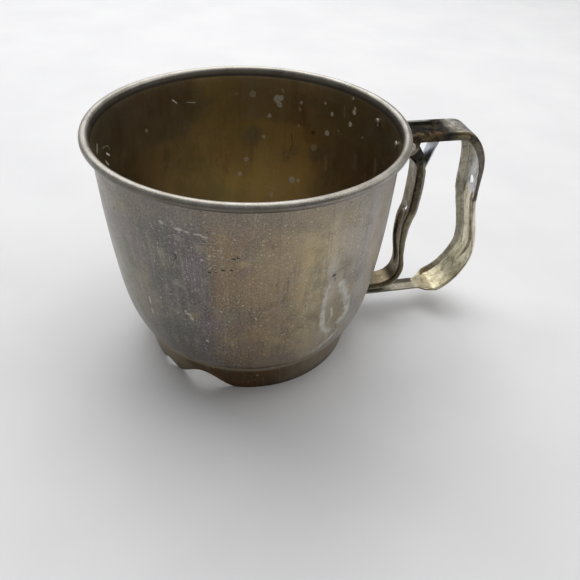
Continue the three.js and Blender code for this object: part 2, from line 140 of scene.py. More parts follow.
def lathe(name, profile, segs, mats=(), mat_of=None, warp=None, axis=None, angle=35):
    """a turned body about a vertical axis; profile is [(r, z)] in mm, closed on itself or on the axis"""
    ax = axis or (AX / MM, 0.0)
    closed = profile[0][0] > 1e-6
    verts, faces, fm = [], [], []
    n = len(profile)
    for j in range(segs):
        a = 2 * math.pi * j / segs
        for i, (r, z) in enumerate(profile):
            if warp:
                r, z = warp(r, z, a, i)
            verts.append(((ax[0] + r * math.cos(a)) * MM, (ax[1] + r * math.sin(a)) * MM, z * MM))
    m = n if closed else n - 1
    for j in range(segs):
        k = (j + 1) % segs
        for i in range(m):
            i2 = (i + 1) % n
            f = [j * n + i, k * n + i, k * n + i2, j * n + i2]
            if not closed and i == 0:
                f = [j * n, k * n + 1, j * n + 1]
            elif not closed and i == m - 1:
                f = [j * n + i, k * n + i, j * n + i2]
            faces.append(f)
            fm.append(mat_of(i) if mat_of else 0)
    return mesh_object(name, verts, faces, mats, fm, angle)


def rounded(profile, r, n=3):
    """the closed or axis-ended profile with its corners rounded"""
    closed = profile[0][0] > 1e-6
    P = [Vector(p) for p in profile]
    out = []
    for i, p in enumerate(P):
        if not closed and i in (0, len(P) - 1):
            out.append(tuple(p))
            continue
        a, b = P[i - 1], P[(i + 1) % len(P)]
        da, db = (a - p), (b - p)
        q = min(r, da.length * 0.45, db.length * 0.45)
        s, e = p + da.normalized() * q, p + db.normalized() * q
        for k in range(n + 1):
            t = k / n
            out.append(tuple(s * (1 - t) ** 2 + p * (2 * t * (1 - t)) + e * t * t))
    return out


def join(objs, name):
    ctx = {"active_object": objs[0], "selected_editable_objects": objs, "selected_objects": objs, "object": objs[0]}
    with bpy.context.temp_override(**ctx):
        bpy.ops.object.join()
    objs[0].name = name
    objs[0].data.name = name
    return objs[0]


def apply_modifiers(o):
    dg = bpy.context.evaluated_depsgraph_get()
    me = bpy.data.meshes.new_from_object(o.evaluated_get(dg), preserve_all_data_layers=True, depsgraph=dg)
    o.modifiers.clear()
    old = o.data
    o.data = me
    me.name = o.name
    bpy.data.meshes.remove(old)


def boolean(o, cutters, op="DIFFERENCE", angle=35):
    for c in cutters:
        m = o.modifiers.new("cut", "BOOLEAN")
        m.operation = op
        m.solver = "EXACT"
        m.object = c
    apply_modifiers(o)
    for c in cutters:
        bpy.data.objects.remove(c, do_unlink=True)
    o.data.polygons.foreach_set("use_smooth", [True] * len(o.data.polygons))
    o.data.set_sharp_from_angle(angle=math.radians(angle))
    return o


def bevel(o, width, angle=40, segments=2):
    m = o.modifiers.new("edge", "BEVEL")
    m.width = width * MM
    m.segments = segments
    m.limit_method = "ANGLE"
    m.angle_limit = math.radians(angle)
    m.use_clamp_overlap = True
    apply_modifiers(o)
    o.data.polygons.foreach_set("use_smooth", [True] * len(o.data.polygons))
    o.data.set_sharp_from_angle(angle=math.radians(50))
    return o


def rod(name, a, b, r, segs=32, mats=()):
    """a plain round body between two points in mm, used as a cutter or a shank"""
    A, B = Vector(a), Vector(b)
    d = (B - A).normalized()
    q = Vector((0, 0, 1)).rotation_difference(d)
    verts, faces = [], []
    for P in (A, B):
        for j in range(segs):
            t = 2 * math.pi * j / segs
            verts.append((P + q @ Vector((r * math.cos(t), r * math.sin(t), 0))) * MM)
    faces = [[j, (j + 1) % segs, segs + (j + 1) % segs, segs + j] for j in range(segs)]
    faces.append(list(range(segs))[::-1])
    faces.append([segs + j for j in range(segs)])
    return mesh_object(name, verts, faces, mats)


# =====================================================================
# materials
# =====================================================================
class Nodes:
    """short-hand for building a node material"""

    def __init__(self, name):
        self.mat = bpy.data.materials.new(name)
        self.mat.use_nodes = True
        self.t = self.mat.node_tree
        self.t.nodes.clear()
        self.out = self.t.nodes.new("ShaderNodeOutputMaterial")
        self.bsdf = self.t.nodes.new("ShaderNodeBsdfPrincipled")
        self.t.links.new(self.bsdf.outputs[0], self.out.inputs[0])
        co = self.t.nodes.new("ShaderNodeTexCoord")
        self.obj = co.outputs["Object"]

    def link(self, a, b):
        self.t.links.new(a, b)

    def put(self, socket, v):
        if hasattr(v, "is_linked") or isinstance(v, bpy.types.NodeSocket):
            self.t.links.new(v, socket)
        elif isinstance(v, (tuple, list)) and len(v) == 3 and socket.type == "RGBA":
            socket.default_value = (*v, 1)
        else:
            socket.default_value = v

    def math(self, op, a, b=0.0, c=None, clamp=False):
        n = self.t.nodes.new("ShaderNodeMath")
        n.operation = op
        n.use_clamp = clamp
        self.put(n.inputs[0], a)
        self.put(n.inputs[1], b)
        if c is not None:
            self.put(n.inputs[2], c)
        return n.outputs[0]

    def vmath(self, op, a, b=(0, 0, 0)):
        n = self.t.nodes.new("ShaderNodeVectorMath")
        n.operation = op
        self.put(n.inputs[0], a)
        self.put(n.inputs[1], b)
        return n.outputs["Value"] if op in ("LENGTH", "DISTANCE", "DOT_PRODUCT") else n.outputs[0]

    def sep(self, v):
        n = self.t.nodes.new("ShaderNodeSeparateXYZ")
        self.put(n.inputs[0], v)
        return n.outputs

    def comb(self, x, y, z):
        n = self.t.nodes.new("ShaderNodeCombineXYZ")
        self.put(n.inputs[0], x)
        self.put(n.inputs[1], y)
        self.put(n.inputs[2], z)
        return n.outputs[0]

    def scaled(self, v, s):
        return self.vmath("MULTIPLY", v, s)

    def noise(self, v, scale, detail=3.0, rough=0.55, distortion=0.0, w=None):
        n = self.t.nodes.new("ShaderNodeTexNoise")
        if w is not None:
            n.noise_dimensions = "4D"
            n.inputs["W"].default_value = w
        self.put(n.inputs["Vector"], v)
        n.inputs["Scale"].default_value = scale
        n.inputs["Detail"].default_value = detail
        n.inputs["Roughness"].default_value = rough
        n.inputs["Distortion"].default_value = distortion
        return n.outputs["Fac"]

    def noise_colour(self, v, scale, detail=2.0):
        n = self.t.nodes.new("ShaderNodeTexNoise")
        self.put(n.inputs["Vector"], v)
        n.inputs["Scale"].default_value = scale
        n.inputs["Detail"].default_value = detail
        return n.outputs["Color"]

    def cells(self, v, scale, feature="F1", random=1.0, out="Distance"):
        n = self.t.nodes.new("ShaderNodeTexVoronoi")
        n.feature = feature
        self.put(n.inputs["Vector"], v)
        n.inputs["Scale"].default_value = scale
        n.inputs["Randomness"].default_value = random
        return n.outputs[out]

    def range(self, v, a, b, c=0.0, d=1.0, smooth=True):
        n = self.t.nodes.new("ShaderNodeMapRange")
        n.interpolation_type = "SMOOTHSTEP" if smooth else "LINEAR"
        n.clamp = True
        self.put(n.inputs[0], v)
        for k, x in zip((1, 2, 3, 4), (a, b, c, d)):
            self.put(n.inputs[k], x)
        return n.outputs[0]

    def ramp(self, v, stops, interpolation="EASE"):
        n = self.t.nodes.new("ShaderNodeValToRGB")
        n.color_ramp.interpolation = interpolation
        e = n.color_ramp.elements
        while len(e) < len(stops):
            e.new(0.5)
        for k, (p, c) in enumerate(stops):
            e[k].position = p
            e[k].color = (*c, 1) if len(c) == 3 else c
        self.put(n.inputs[0], v)
        return n.outputs[0]

    def mix(self, f, a, b, blend="MIX"):
        n = self.t.nodes.new("ShaderNodeMix")
        n.data_type = "RGBA"
        n.blend_type = blend
        n.clamp_factor = True
        self.put(n.inputs[0], f)
        self.put(n.inputs[6], a)
        self.put(n.inputs[7], b)
        return n.outputs[2]

    def mixf(self, f, a, b):
        n = self.t.nodes.new("ShaderNodeMix")
        n.data_type = "FLOAT"
        self.put(n.inputs[0], f)
        self.put(n.inputs[2], a)
        self.put(n.inputs[3], b)
        return n.outputs[0]

    def bump(self, height, strength, distance, normal=None):
        n = self.t.nodes.new("ShaderNodeBump")
        n.inputs["Strength"].default_value = strength
        n.inputs["Distance"].default_value = distance
        self.put(n.inputs["Height"], height)
        if normal is not None:
            self.link(normal, n.inputs["Normal"])
        return n.outputs[0]

    def done(self, colour, metallic, rough, normal=None, **plain):
        self.put(self.bsdf.inputs["Base Color"], colour)
        self.put(self.bsdf.inputs["Metallic"], metallic)
        self.put(self.bsdf.inputs["Roughness"], rough)
        if normal is not None:
            self.link(normal, self.bsdf.inputs["Normal"])
        for k, v in plain.items():
            self.bsdf.inputs[k.replace("_", " ")].default_value = v
        return self.mat

    # positions about the cup's axis, in metres: (radius, azimuth in radians, height)
    def polar(self):
        s = self.sep(self.vmath("SUBTRACT", self.obj, (AX, 0, 0)))
        r = self.math("SQRT", self.math("ADD", self.math("MULTIPLY", s[0], s[0]), self.math("MULTIPLY", s[1], s[1])))
        return r, self.math("ARCTAN2", s[1], s[0]), s[2]

    def wall_map(self, az, z, radius=0.06):
        """a flat map of the wall: arc length, height, 0; its seam is behind the cup, inside the dark"""
        return self.comb(self.math("MULTIPLY", az, radius), z, 0.0)

    def near(self, point, centre, size, warp=None):
        """scaled distance from centre: 0 at centre, 1 at size; centre in the map's own metres, size (x, z) in metres"""
        d = self.vmath("SUBTRACT", point, centre)
        d = self.vmath("MULTIPLY", d, (1 / size[0], 1 / size[1], 0))
        l = self.vmath("LENGTH", d)
        return l


def flecks(N, v, scale, size, share, seed=0.0):
    """scattered small specks: 1 on a speck"""
    p = N.vmath("ADD", v, (seed, seed * 1.7, seed * 0.3))
    n = N.t.nodes.new("ShaderNodeTexVoronoi")
    n.feature = "F1"
    N.put(n.inputs["Vector"], p)
    n.inputs["Scale"].default_value = scale
    pick = N.sep(n.outputs["Color"])
    on = N.math("LESS_THAN", pick[0], share)
    rr = N.math("MULTIPLY_ADD", pick[1], size * 0.9, size * 0.35)
    body = N.math("SUBTRACT", 1.0, N.range(n.outputs["Distance"], N.math("MULTIPLY", rr, 0.55), rr), clamp=True)
    return N.math("MULTIPLY", on, body)


def scratches(N, v, turn, stretch, scale, width, amount):
    """fine lines along one direction"""
    m = N.t.nodes.new("ShaderNodeMapping")
    m.vector_type = "POINT"
    N.put(m.inputs["Vector"], v)
    m.inputs["Rotation"].default_value = (0, 0, math.radians(turn))
    m.inputs["Scale"].default_value = (1, stretch, 1)
    n = N.noise(m.outputs[0], scale, 2.0, 0.5)
    line = N.math("SUBTRACT", 1.0, N.range(N.math("ABSOLUTE", N.math("SUBTRACT", n, 0.5)), 0.0, width), clamp=True)
    gate = N.range(N.noise(v, 45.0, 2.0, 0.5, w=turn * 0.37), 1.0 - amount, 1.0 - amount + 0.08)
    return N.math("MULTIPLY", line, gate)


def wall_point(az_deg, z_mm, radius=0.06):
    return (math.radians(az_deg) * radius, z_mm * MM, 0.0)


def stroke(N, m, points, width, rough_edge=None):
    """1 along a polyline drawn on the wall map, fading over the width; points (azimuth deg, height mm), width mm"""
    best = None
    P = [Vector(wall_point(*q)) for q in points]
    for a, b in zip(P, P[1:]):
        ab = b - a
        pa = N.vmath("SUBTRACT", m, tuple(a))
        t = N.math("DIVIDE", N.vmath("DOT_PRODUCT", pa, tuple(ab)), max(ab.dot(ab), 1e-12), clamp=True)
        n = N.t.nodes.new("ShaderNodeVectorMath")
        n.operation = "SCALE"
        n.inputs[0].default_value = tuple(ab)
        N.link(t, n.inputs["Scale"])
        d = N.vmath("LENGTH", N.vmath("SUBTRACT", pa, n.outputs[0]))
        best = d if best is None else N.math("MINIMUM", best, d)
    d = N.math("DIVIDE", best, width * MM)
    if rough_edge is not None:
        d = N.math("ADD", d, rough_edge)
    return N.range(d, 1.0, 0.25)


def blobs(N, m, items, edge, spread, inner=0.7):
    """1 inside ragged spots; items (azimuth deg, height mm, half width mm, half height mm, strength)"""
    best = None
    for azd, zz, sx, sz, w in items:
        d = N.near(m, wall_point(azd, zz), (sx * MM, sz * MM))
        d = N.math("ADD", d, N.math("MULTIPLY_ADD", edge, spread, -spread / 2))
        c = N.math("MULTIPLY", N.range(d, 1.0, inner), w)
        best = c if best is None else N.math("MAXIMUM", best, c)
    return best


def cup_outside():
    N = Nodes("cup_outside")
    r, az, z = N.polar()
    m = N.wall_map(az, z)
    P = N.obj
    # broad tarnish, changing round the cup; its bands are partly a painted reflection of the room's light and dark
    # bands
    warp = N.noise(N.scaled(P, (1, 1, 0.28)), 42.0, 5.0, 0.62)
    a = N.math("ADD", N.math("DIVIDE", az, 2 * math.pi), N.math("MULTIPLY_ADD", warp, 0.050, -0.025 + 0.5))
    tint = N.ramp(a, [
        (0.000, (0.30, 0.28, 0.24)), (0.050, (0.235, 0.215, 0.175)), (0.085, (0.165, 0.160, 0.132)), (0.115, (0.128, 0.130, 0.118)),
        (0.160, (0.132, 0.127, 0.124)), (0.181, (0.140, 0.122, 0.120)), (0.190, (0.220, 0.165, 0.112)), (0.212, (0.275, 0.200, 0.120)), (0.255, (0.345, 0.262, 0.168)),
        (0.285, (0.48, 0.392, 0.245)), (0.310, (0.46, 0.39, 0.275)), (0.335, (0.36, 0.325, 0.27)), (0.362, (0.31, 0.295, 0.285)),
        (0.385, (0.38, 0.31, 0.255)), (0.415, (0.37, 0.36, 0.35)), (0.50, (0.31, 0.285, 0.25)), (0.62, (0.22, 0.205, 0.19)),
        (0.74, (0.30, 0.25, 0.17)), (0.86, (0.23, 0.22, 0.205)), (1.00, (0.30, 0.28, 0.24)),
    ], "LINEAR")
    cloud = N.noise(P, 75.0, 6.0, 0.66, 0.4)
    tint = N.mix(N.range(cloud, 0.45, 0.72, 0.0, 0.6), tint, (0.135, 0.115, 0.095))
    cloud2 = N.noise(P, 34.0, 5.0, 0.6, 0.2, w=4.4)
    tint = N.mix(N.range(cloud2, 0.50, 0.70, 0.0, 0.45), tint, (0.34, 0.29, 0.21))
    violet = N.range(N.noise(N.scaled(P, (1, 1, 0.5)), 70.0, 5.0, 0.62, w=3.1), 0.48, 0.64, 0.0, 0.58)
    tint = N.mix(violet, tint, (0.185, 0.150, 0.172))
    moss = N.range(N.noise(N.scaled(P, (1, 1, 0.6)), 64.0, 5.0, 0.62, w=9.3), 0.53, 0.66, 0.0, 0.7)
    tint = N.mix(moss, tint, (0.175, 0.175, 0.120))
    gold = N.range(N.noise(P, 90.0, 5.0, 0.6, w=7.7), 0.56, 0.76, 0.0, 0.7)
    tint = N.mix(gold, tint, (0.40, 0.30, 0.13))
    gold2 = blobs(N, m, GOLDEN, N.noise(m, 120.0, 4.0, 0.6), 1.3, 0.1)
    tint = N.mix(N.math("MULTIPLY", gold2, 0.45), tint, (0.50, 0.38, 0.19))
    # a duller, greyer band under the rim, and painted shade at the foot: darker and browner towards the bottom,
    # standing in for the reflected contact shadow
    band = N.range(N.math("ADD", z, N.math("MULTIPLY", N.noise(m, 60.0, 3.0, 0.5), 0.010)), 0.0915, 0.1035, 0.0, 0.6)
    tint = N.mix(band, tint, (0.205, 0.185, 0.160))
    tint = N.mix(N.range(z, 0.034, 0.017, 0.0, 0.35), tint, (0.20, 0.155, 0.105))
    # upright streaks
    streak = N.noise(N.scaled(m, (1, 0.05, 1)), 420.0, 5.0, 0.7)
    tint = N.mix(N.range(streak, 0.50, 0.75, 0.0, 0.30), tint, (0.40, 0.36, 0.30))
    tint = N.mix(N.range(streak, 0.47, 0.30, 0.0, 0.50), tint, (0.095, 0.08, 0.068))
    # mottling of the worn plating at the grain's own scale
    fine = N.noise(m, 1150.0, 6.0, 0.72)
    tint = N.mix(N.range(fine, 0.47, 0.68, 0.0, 0.5), tint, (0.42, 0.37, 0.29))
    tint = N.mix(N.range(fine, 0.46, 0.30, 0.0, 0.5), tint, (0.10, 0.085, 0.07))
    # pale mineral flecks in four sizes, thickest over the golden side
    dens = N.range(N.noise(P, 48.0, 4.0, 0.55, w=1.3), 0.38, 0.62, 0.35, 1.0)
    side = N.math("ADD", N.range(az, math.radians(-150), math.radians(-88), 0.45, 1.15), N.range(az, math.radians(-55), math.radians(-20), 0.0, -0.35))
    dens = N.math("MULTIPLY", dens, side)
    f0 = flecks(N, m, 2300.0, 0.44, 0.42, 0.11)
    f1 = flecks(N, m, 1350.0, 0.40, 0.40, 0.31)
    f2 = flecks(N, m, 760.0, 0.32, 0.42, 0.77)
    f3 = flecks(N, m, 430.0, 0.24, 0.36, 1.9)
    fleck = N.math("MAXIMUM", N.math("MAXIMUM", N.math("MULTIPLY", f0, 0.55), N.math("MULTIPLY", f1, 0.75)), N.math("MAXIMUM", f2, f3))
    fleck = N.math("MULTIPLY", fleck, dens)
    dark = N.math("MAXIMUM", N.math("MULTIPLY", flecks(N, m, 620.0, 0.22, 0.14, 5.3), 0.7), N.math("MULTIPLY", flecks(N, m, 1500.0, 0.36, 0.25, 6.9), 0.5))
    film = N.range(N.noise(m, 210.0, 7.0, 0.74, 0.5), 0.54, 0.68, 0.0, 0.60)
    s1 = scratches(N, m, 12, 0.045, 560.0, 0.010, 0.46)
    s2 = scratches(N, m, 97, 0.05, 520.0, 0.009, 0.44)
    s3 = scratches(N, m, -38, 0.06, 470.0, 0.009, 0.40)
    scr = N.math("MAXIMUM", s1, N.math("MAXIMUM", s2, s3))
    edge = N.noise(m, 420.0, 5.0, 0.68, 0.6)
    wob = N.math("MULTIPLY_ADD", N.noise(m, 330.0, 5.0, 0.7), 2.2, -1.1)
    # the knocked place at the right: painted highlights along its two sides where the dent catches the light, partly
    # pale oxide
    dent_sheen_and_oxide = N.math("MAXIMUM", stroke(N, m, [(-69.0, 62.0), (-70.4, 51.0), (-69.4, 42.5), (-65.6, 35.0), (-63.6, 33.0)], 2.2, wob),
                stroke(N, m, [(-62.5, 61.0), (-57.6, 49.0), (-56.2, 41.5), (-58.5, 36.0)], 2.3, wob))
    dent_sheen_and_oxide = N.math("MAXIMUM", dent_sheen_and_oxide, N.math("MULTIPLY", stroke(N, m, [(-68.5, 76.0), (-68.8, 66.0), (-69.2, 58.0)], 3.4, wob), 0.50))
    dent_sheen_and_oxide = N.math("MAXIMUM", dent_sheen_and_oxide, N.math("MULTIPLY", stroke(N, m, [(-64.8, 47.5), (-63.4, 43.0), (-65.0, 39.0)], 0.9, wob), 0.9))
    dent_sheen_and_oxide = N.math("MAXIMUM", dent_sheen_and_oxide, N.math("MULTIPLY", stroke(N, m, [(-57.5, 30.0), (-62.0, 25.5), (-68.5, 22.0)], 2.0, wob), 0.9))
    soft = N.range(N.noise(N.scaled(m, (1, 0.45, 1)), 260.0, 5.0, 0.72, 0.4, w=3.0), 0.40, 0.56, 0.35, 1.0)
    dent_sheen_and_oxide = N.math("MULTIPLY", dent_sheen_and_oxide, soft)
    hollow = N.range(N.near(m, wall_point(-63.3, 48.0), (5.2 * MM, 12.0 * MM)), 1.0, 0.35)
    chips = N.math("MAXIMUM", blobs(N, m, CHIPS, edge, 1.5),
                   N.math("MULTIPLY", stroke(N, m, [(-120.5, 91.8), (-118.0, 91.5)], 0.25, wob), 0.3))
    chips = N.math("MAXIMUM", chips, N.math("MULTIPLY", stroke(N, m, [(-117.5, 87.4), (-109.6, 88.6)], 0.20, wob), 0.35))
    chips = N.math("MAXIMUM", chips, N.math("MULTIPLY", stroke(N, m, [(-113.5, 81.5), (-110.0, 81.2)], 0.25, wob), 0.35))
    marks = N.math("MAXIMUM", blobs(N, m, DARK_MARKS, edge, 1.4),
                   N.math("MULTIPLY", stroke(N, m, [(-125.5, 81.2), (-124.0, 79.5), (-125.2, 77.5)], 0.35, wob), 0.8))
    pale = blobs(N, m, PALE, edge, 1.8, 0.2)
    col = N.mix(film, tint, (0.34, 0.31, 0.25))
    col = N.mix(N.math("MULTIPLY", hollow, 0.55), col, (0.33, 0.29, 0.19))
    col = N.mix(N.math("MULTIPLY", pale, 0.5), col, (0.36, 0.345, 0.27))
    col = N.mix(N.math("MULTIPLY", fleck, 0.72), col, N.mix(N.range(az, math.radians(-118), math.radians(-98)), (0.55, 0.55, 0.52), (0.66, 0.57, 0.42)))
    col = N.mix(N.math("MULTIPLY", scr, 0.42), col, (0.58, 0.55, 0.49))
    col = N.mix(dark, col, (0.055, 0.045, 0.035))
    # painted highlight of the dent's sides, partly pale oxide
    col = N.mix(N.math("MULTIPLY", dent_sheen_and_oxide, 0.80), col, (0.68, 0.68, 0.62))
    col = N.mix(N.math("MULTIPLY", chips, 0.75), col, (0.60, 0.58, 0.52))
    col = N.mix(N.math("MULTIPLY", marks, 0.9), col, (0.035, 0.032, 0.03))
    dull = N.math("MAXIMUM", N.math("MULTIPLY", fleck, 0.75), N.math("MAXIMUM", N.math("MULTIPLY", dent_sheen_and_oxide, 0.7), N.math("MULTIPLY", chips, 0.8)))
    metal = N.math("SUBTRACT", 0.97, N.math("MULTIPLY", dull, 0.6))
    rough = N.math("ADD", N.math("MULTIPLY_ADD", N.noise(P, 150.0, 5.0, 0.65), 0.26, 0.20), N.math("MULTIPLY", dull, 0.3))
    rough = N.math("ADD", rough, N.math("MULTIPLY", film, 0.18), clamp=True)
    h = N.math("MULTIPLY_ADD", fine, 0.5, N.math("MULTIPLY", fleck, 0.6))
    h = N.math("ADD", h, N.math("MULTIPLY", dent_sheen_and_oxide, 1.4))
    h = N.math("SUBTRACT", h, N.math("MULTIPLY", scr, 0.5))
    h = N.math("SUBTRACT", h, N.math("MULTIPLY", N.math("MAXIMUM", marks, dark), 0.9))
    nrm = N.bump(h, 0.4, 0.00014)
    nrm = N.bump(N.noise(N.scaled(P, (1, 1, 0.5)), 130.0, 4.0, 0.55), 0.25, 0.0006, nrm)
    return N.done(col, metal, rough, nrm)


def cup_inside():
    N = Nodes("cup_inside")
    r, az, z = N.polar()
    m = N.wall_map(az, z)
    P = N.obj
    warp = N.noise(N.scaled(P, (1, 1, 0.3)), 40.0, 5.0, 0.62)
    a = N.math("ADD", N.math("DIVIDE", az, 2 * math.pi), N.math("MULTIPLY_ADD", warp, 0.06, -0.03 + 0.5))
    tint = N.ramp(a, [
        (0.00, (0.33, 0.27, 0.17)), (0.20, (0.40, 0.34, 0.24)), (0.42, (0.31, 0.25, 0.18)),
        (0.53, (0.35, 0.29, 0.23)), (0.59, (0.36, 0.285, 0.20)), (0.622, (0.42, 0.325, 0.19)), (0.642, (0.64, 0.48, 0.215)), (0.68, (0.66, 0.50, 0.225)),
        (0.74, (0.45, 0.355, 0.15)), (0.79, (0.72, 0.58, 0.26)), (0.84, (0.80, 0.63, 0.29)), (0.875, (0.62, 0.49, 0.26)), (0.90, (0.42, 0.34, 0.20)), (0.94, (0.38, 0.295, 0.175)), (1.00, (0.33, 0.27, 0.17)),
    ], "LINEAR")
    # the wall's upper part is greyer and darker, with a soft tide line
    line = N.math("ADD", z, N.math("MULTIPLY_ADD", N.noise(m, 55.0, 4.0, 0.55), 0.006, -0.003))
    up = N.range(line, 0.0785, 0.0835, 0.0, 0.8)
    clean = N.math("MULTIPLY", N.range(az, math.radians(82), math.radians(87)), N.range(az, math.radians(108), math.radians(103)))
    up = N.math("MULTIPLY", up, N.math("SUBTRACT", 1.0, N.math("MULTIPLY", clean, 0.75)))
    greyup = N.mix(N.range(N.noise(P, 60.0, 5.0, 0.6, w=1.2), 0.42, 0.62), (0.44, 0.345, 0.21), (0.43, 0.39, 0.30))
    tint = N.mix(up, tint, greyup)
    left = N.math("MULTIPLY", N.range(az, math.radians(104), math.radians(113)), N.range(line, 0.072, 0.079, 0.35, 0.9))
    tint = N.mix(left, tint, (0.44, 0.38, 0.27))
    rust = N.range(N.noise(N.scaled(P, (1, 1, 0.5)), 78.0, 5.0, 0.64, w=2.2), 0.50, 0.70, 0.0, 0.6)
    tint = N.mix(rust, tint, (0.36, 0.215, 0.105))
    olive = N.range(N.noise(N.scaled(P, (1, 1, 0.6)), 52.0, 5.0, 0.62, w=5.2), 0.50, 0.68, 0.0, 0.6)
    tint = N.mix(olive, tint, (0.36, 0.33, 0.19))
    slate = N.range(N.noise(P, 66.0, 4.0, 0.6, w=6.4), 0.56, 0.70, 0.0, 0.5)
    tint = N.mix(slate, tint, (0.27, 0.265, 0.24))
    streak = N.noise(N.scaled(m, (1, 0.06, 1)), 330.0, 5.0, 0.68)
    tint = N.mix(N.range(streak, 0.50, 0.74, 0.0, 0.28), tint, (0.50, 0.42, 0.28))
    tint = N.mix(N.range(streak, 0.46, 0.26, 0.0, 0.26), tint, (0.15, 0.11, 0.07))
    fine = N.noise(m, 900.0, 6.0, 0.7)
    tint = N.mix(N.range(fine, 0.48, 0.70, 0.0, 0.25), tint, (0.55, 0.47, 0.32))
    tint = N.mix(N.range(fine, 0.46, 0.28, 0.0, 0.35), tint, (0.16, 0.12, 0.075))
    # darker towards the bottom
    tint = N.mix(N.range(z, 0.050, 0.018, 0.0, 0.5), tint, (0.22, 0.18, 0.12))
    # dried water spots, each a ragged disc with a brighter edge
    edge = N.noise(m, 700.0, 4.0, 0.65)
    spots, ringy = None, None
    for azd, zz, s, w in SPOTS:
        d = N.near(m, wall_point(azd, zz), (s * MM, s * MM * 1.15))
        d = N.math("ADD", d, N.math("MULTIPLY_ADD", edge, 1.1, -0.55))
        c = N.math("MULTIPLY", N.range(d, 1.0, 0.6), w)
        g = N.math("MULTIPLY", N.math("MULTIPLY", N.range(d, 1.05, 0.85), N.range(d, 0.45, 0.75)), w)
        spots = c if spots is None else N.math("MAXIMUM", spots, c)
        ringy = g if ringy is None else N.math("MAXIMUM", ringy, g)
    rnd = N.math("MAXIMUM", N.math("MULTIPLY", flecks(N, m, 150.0, 0.10, 0.18, 2.9), 0.30),
                 N.math("MULTIPLY", flecks(N, m, 620.0, 0.20, 0.22, 4.1), 0.32))
    spots = N.math("MAXIMUM", spots, rnd)
    s1 = scratches(N, m, 8, 0.05, 430.0, 0.009, 0.44)
    s2 = scratches(N, m, 80, 0.05, 430.0, 0.009, 0.42)
    scr = N.math("MULTIPLY", N.math("MAXIMUM", s1, s2), 0.5)
    wob = N.math("MULTIPLY_ADD", N.noise(m, 600.0, 3.0, 0.6), 1.0, -0.5)
    glint = None
    for pts_, wd, k in INSIDE_MARKS:
        line_ = N.math("MULTIPLY", stroke(N, m, pts_, wd, wob), k)
        glint = line_ if glint is None else N.math("MAXIMUM", glint, line_)
    dk = N.math("MAXIMUM", stroke(N, m, [(59.4, 75.5), (58.6, 70.0), (59.6, 66.0)], 0.3, wob), N.math("MULTIPLY", blobs(N, m, [(48.4, 78.3, 1.6, 1.4, 1.0), (60.5, 62.0, 0.7, 1.1, 0.8)], edge, 1.6, 0.2), 0.8))
    col = N.mix(N.math("MULTIPLY", spots, 0.72), tint, (0.58, 0.56, 0.52))
    col = N.mix(N.math("MULTIPLY", ringy, 0.45), col, (0.74, 0.72, 0.68))
    col = N.mix(scr, col, (0.66, 0.60, 0.50))
    col = N.mix(glint, col, (0.92, 0.90, 0.84))
    spots = N.math("MAXIMUM", spots, glint)
    col = N.mix(N.math("MULTIPLY", dk, 0.8), col, (0.06, 0.045, 0.03))
    metal = N.math("SUBTRACT", 0.97, N.math("MULTIPLY", spots, 0.78))
    rough = N.math("ADD", N.math("MULTIPLY_ADD", N.noise(P, 120.0, 4.0, 0.6), 0.22, 0.22), N.math("MULTIPLY", spots, 0.3), clamp=True)
    h = N.math("MULTIPLY_ADD", fine, 0.4, N.math("MULTIPLY", spots, 0.5))
    nrm = N.bump(h, 0.3, 0.00012)
    nrm = N.bump(N.noise(N.scaled(P, (1, 1, 0.4)), 120.0, 4.0, 0.55), 0.22, 0.0006, nrm)
    return N.done(col, metal, rough, nrm)


def rim_metal():
    N = Nodes("rim_metal")
    P = N.obj
    r, az, z = N.polar()
    base = N.mix(N.range(N.noise(P, 90.0, 4.0, 0.6), 0.40, 0.70), (0.345, 0.328, 0.292), (0.235, 0.218, 0.185))
    grain = N.noise(P, 1500.0, 4.0, 0.7)
    base = N.mix(N.range(grain, 0.45, 0.70, 0.0, 0.5), base, (0.52, 0.505, 0.465))
    pit = flecks(N, P, 850.0, 0.30, 0.35, 0.9)
    base = N.mix(N.math("MULTIPLY", pit, 0.6), base, (0.36, 0.32, 0.27))
    # painted shade under the rolled edge, where it meets the wall
    low = N.range(z, TOP - 0.0019, TOP - 0.0033)
    base = N.mix(N.math("MULTIPLY", low, 0.85), base, (0.11, 0.095, 0.08))
    # painted shade over the front of the curl, below its top
    front = N.math("MULTIPLY", N.range(az, math.radians(-165), math.radians(-140)), N.range(az, math.radians(-70), math.radians(-95)))
    base = N.mix(N.math("MULTIPLY", N.math("MULTIPLY", front, N.range(z, TOP - 0.0008, TOP - 0.0016)), 0.7), base, (0.10, 0.08, 0.055))
    rough = N.math("MULTIPLY_ADD", grain, 0.22, 0.26, clamp=True)
    nrm = N.bump(N.noise(P, 1500.0, 4.0, 0.7), 0.6, 0.00016)
    nrm = N.bump(N.noise(P, 300.0, 2.0, 0.5), 0.18, 0.0003, nrm)
    return N.done(base, 0.95, rough, nrm)


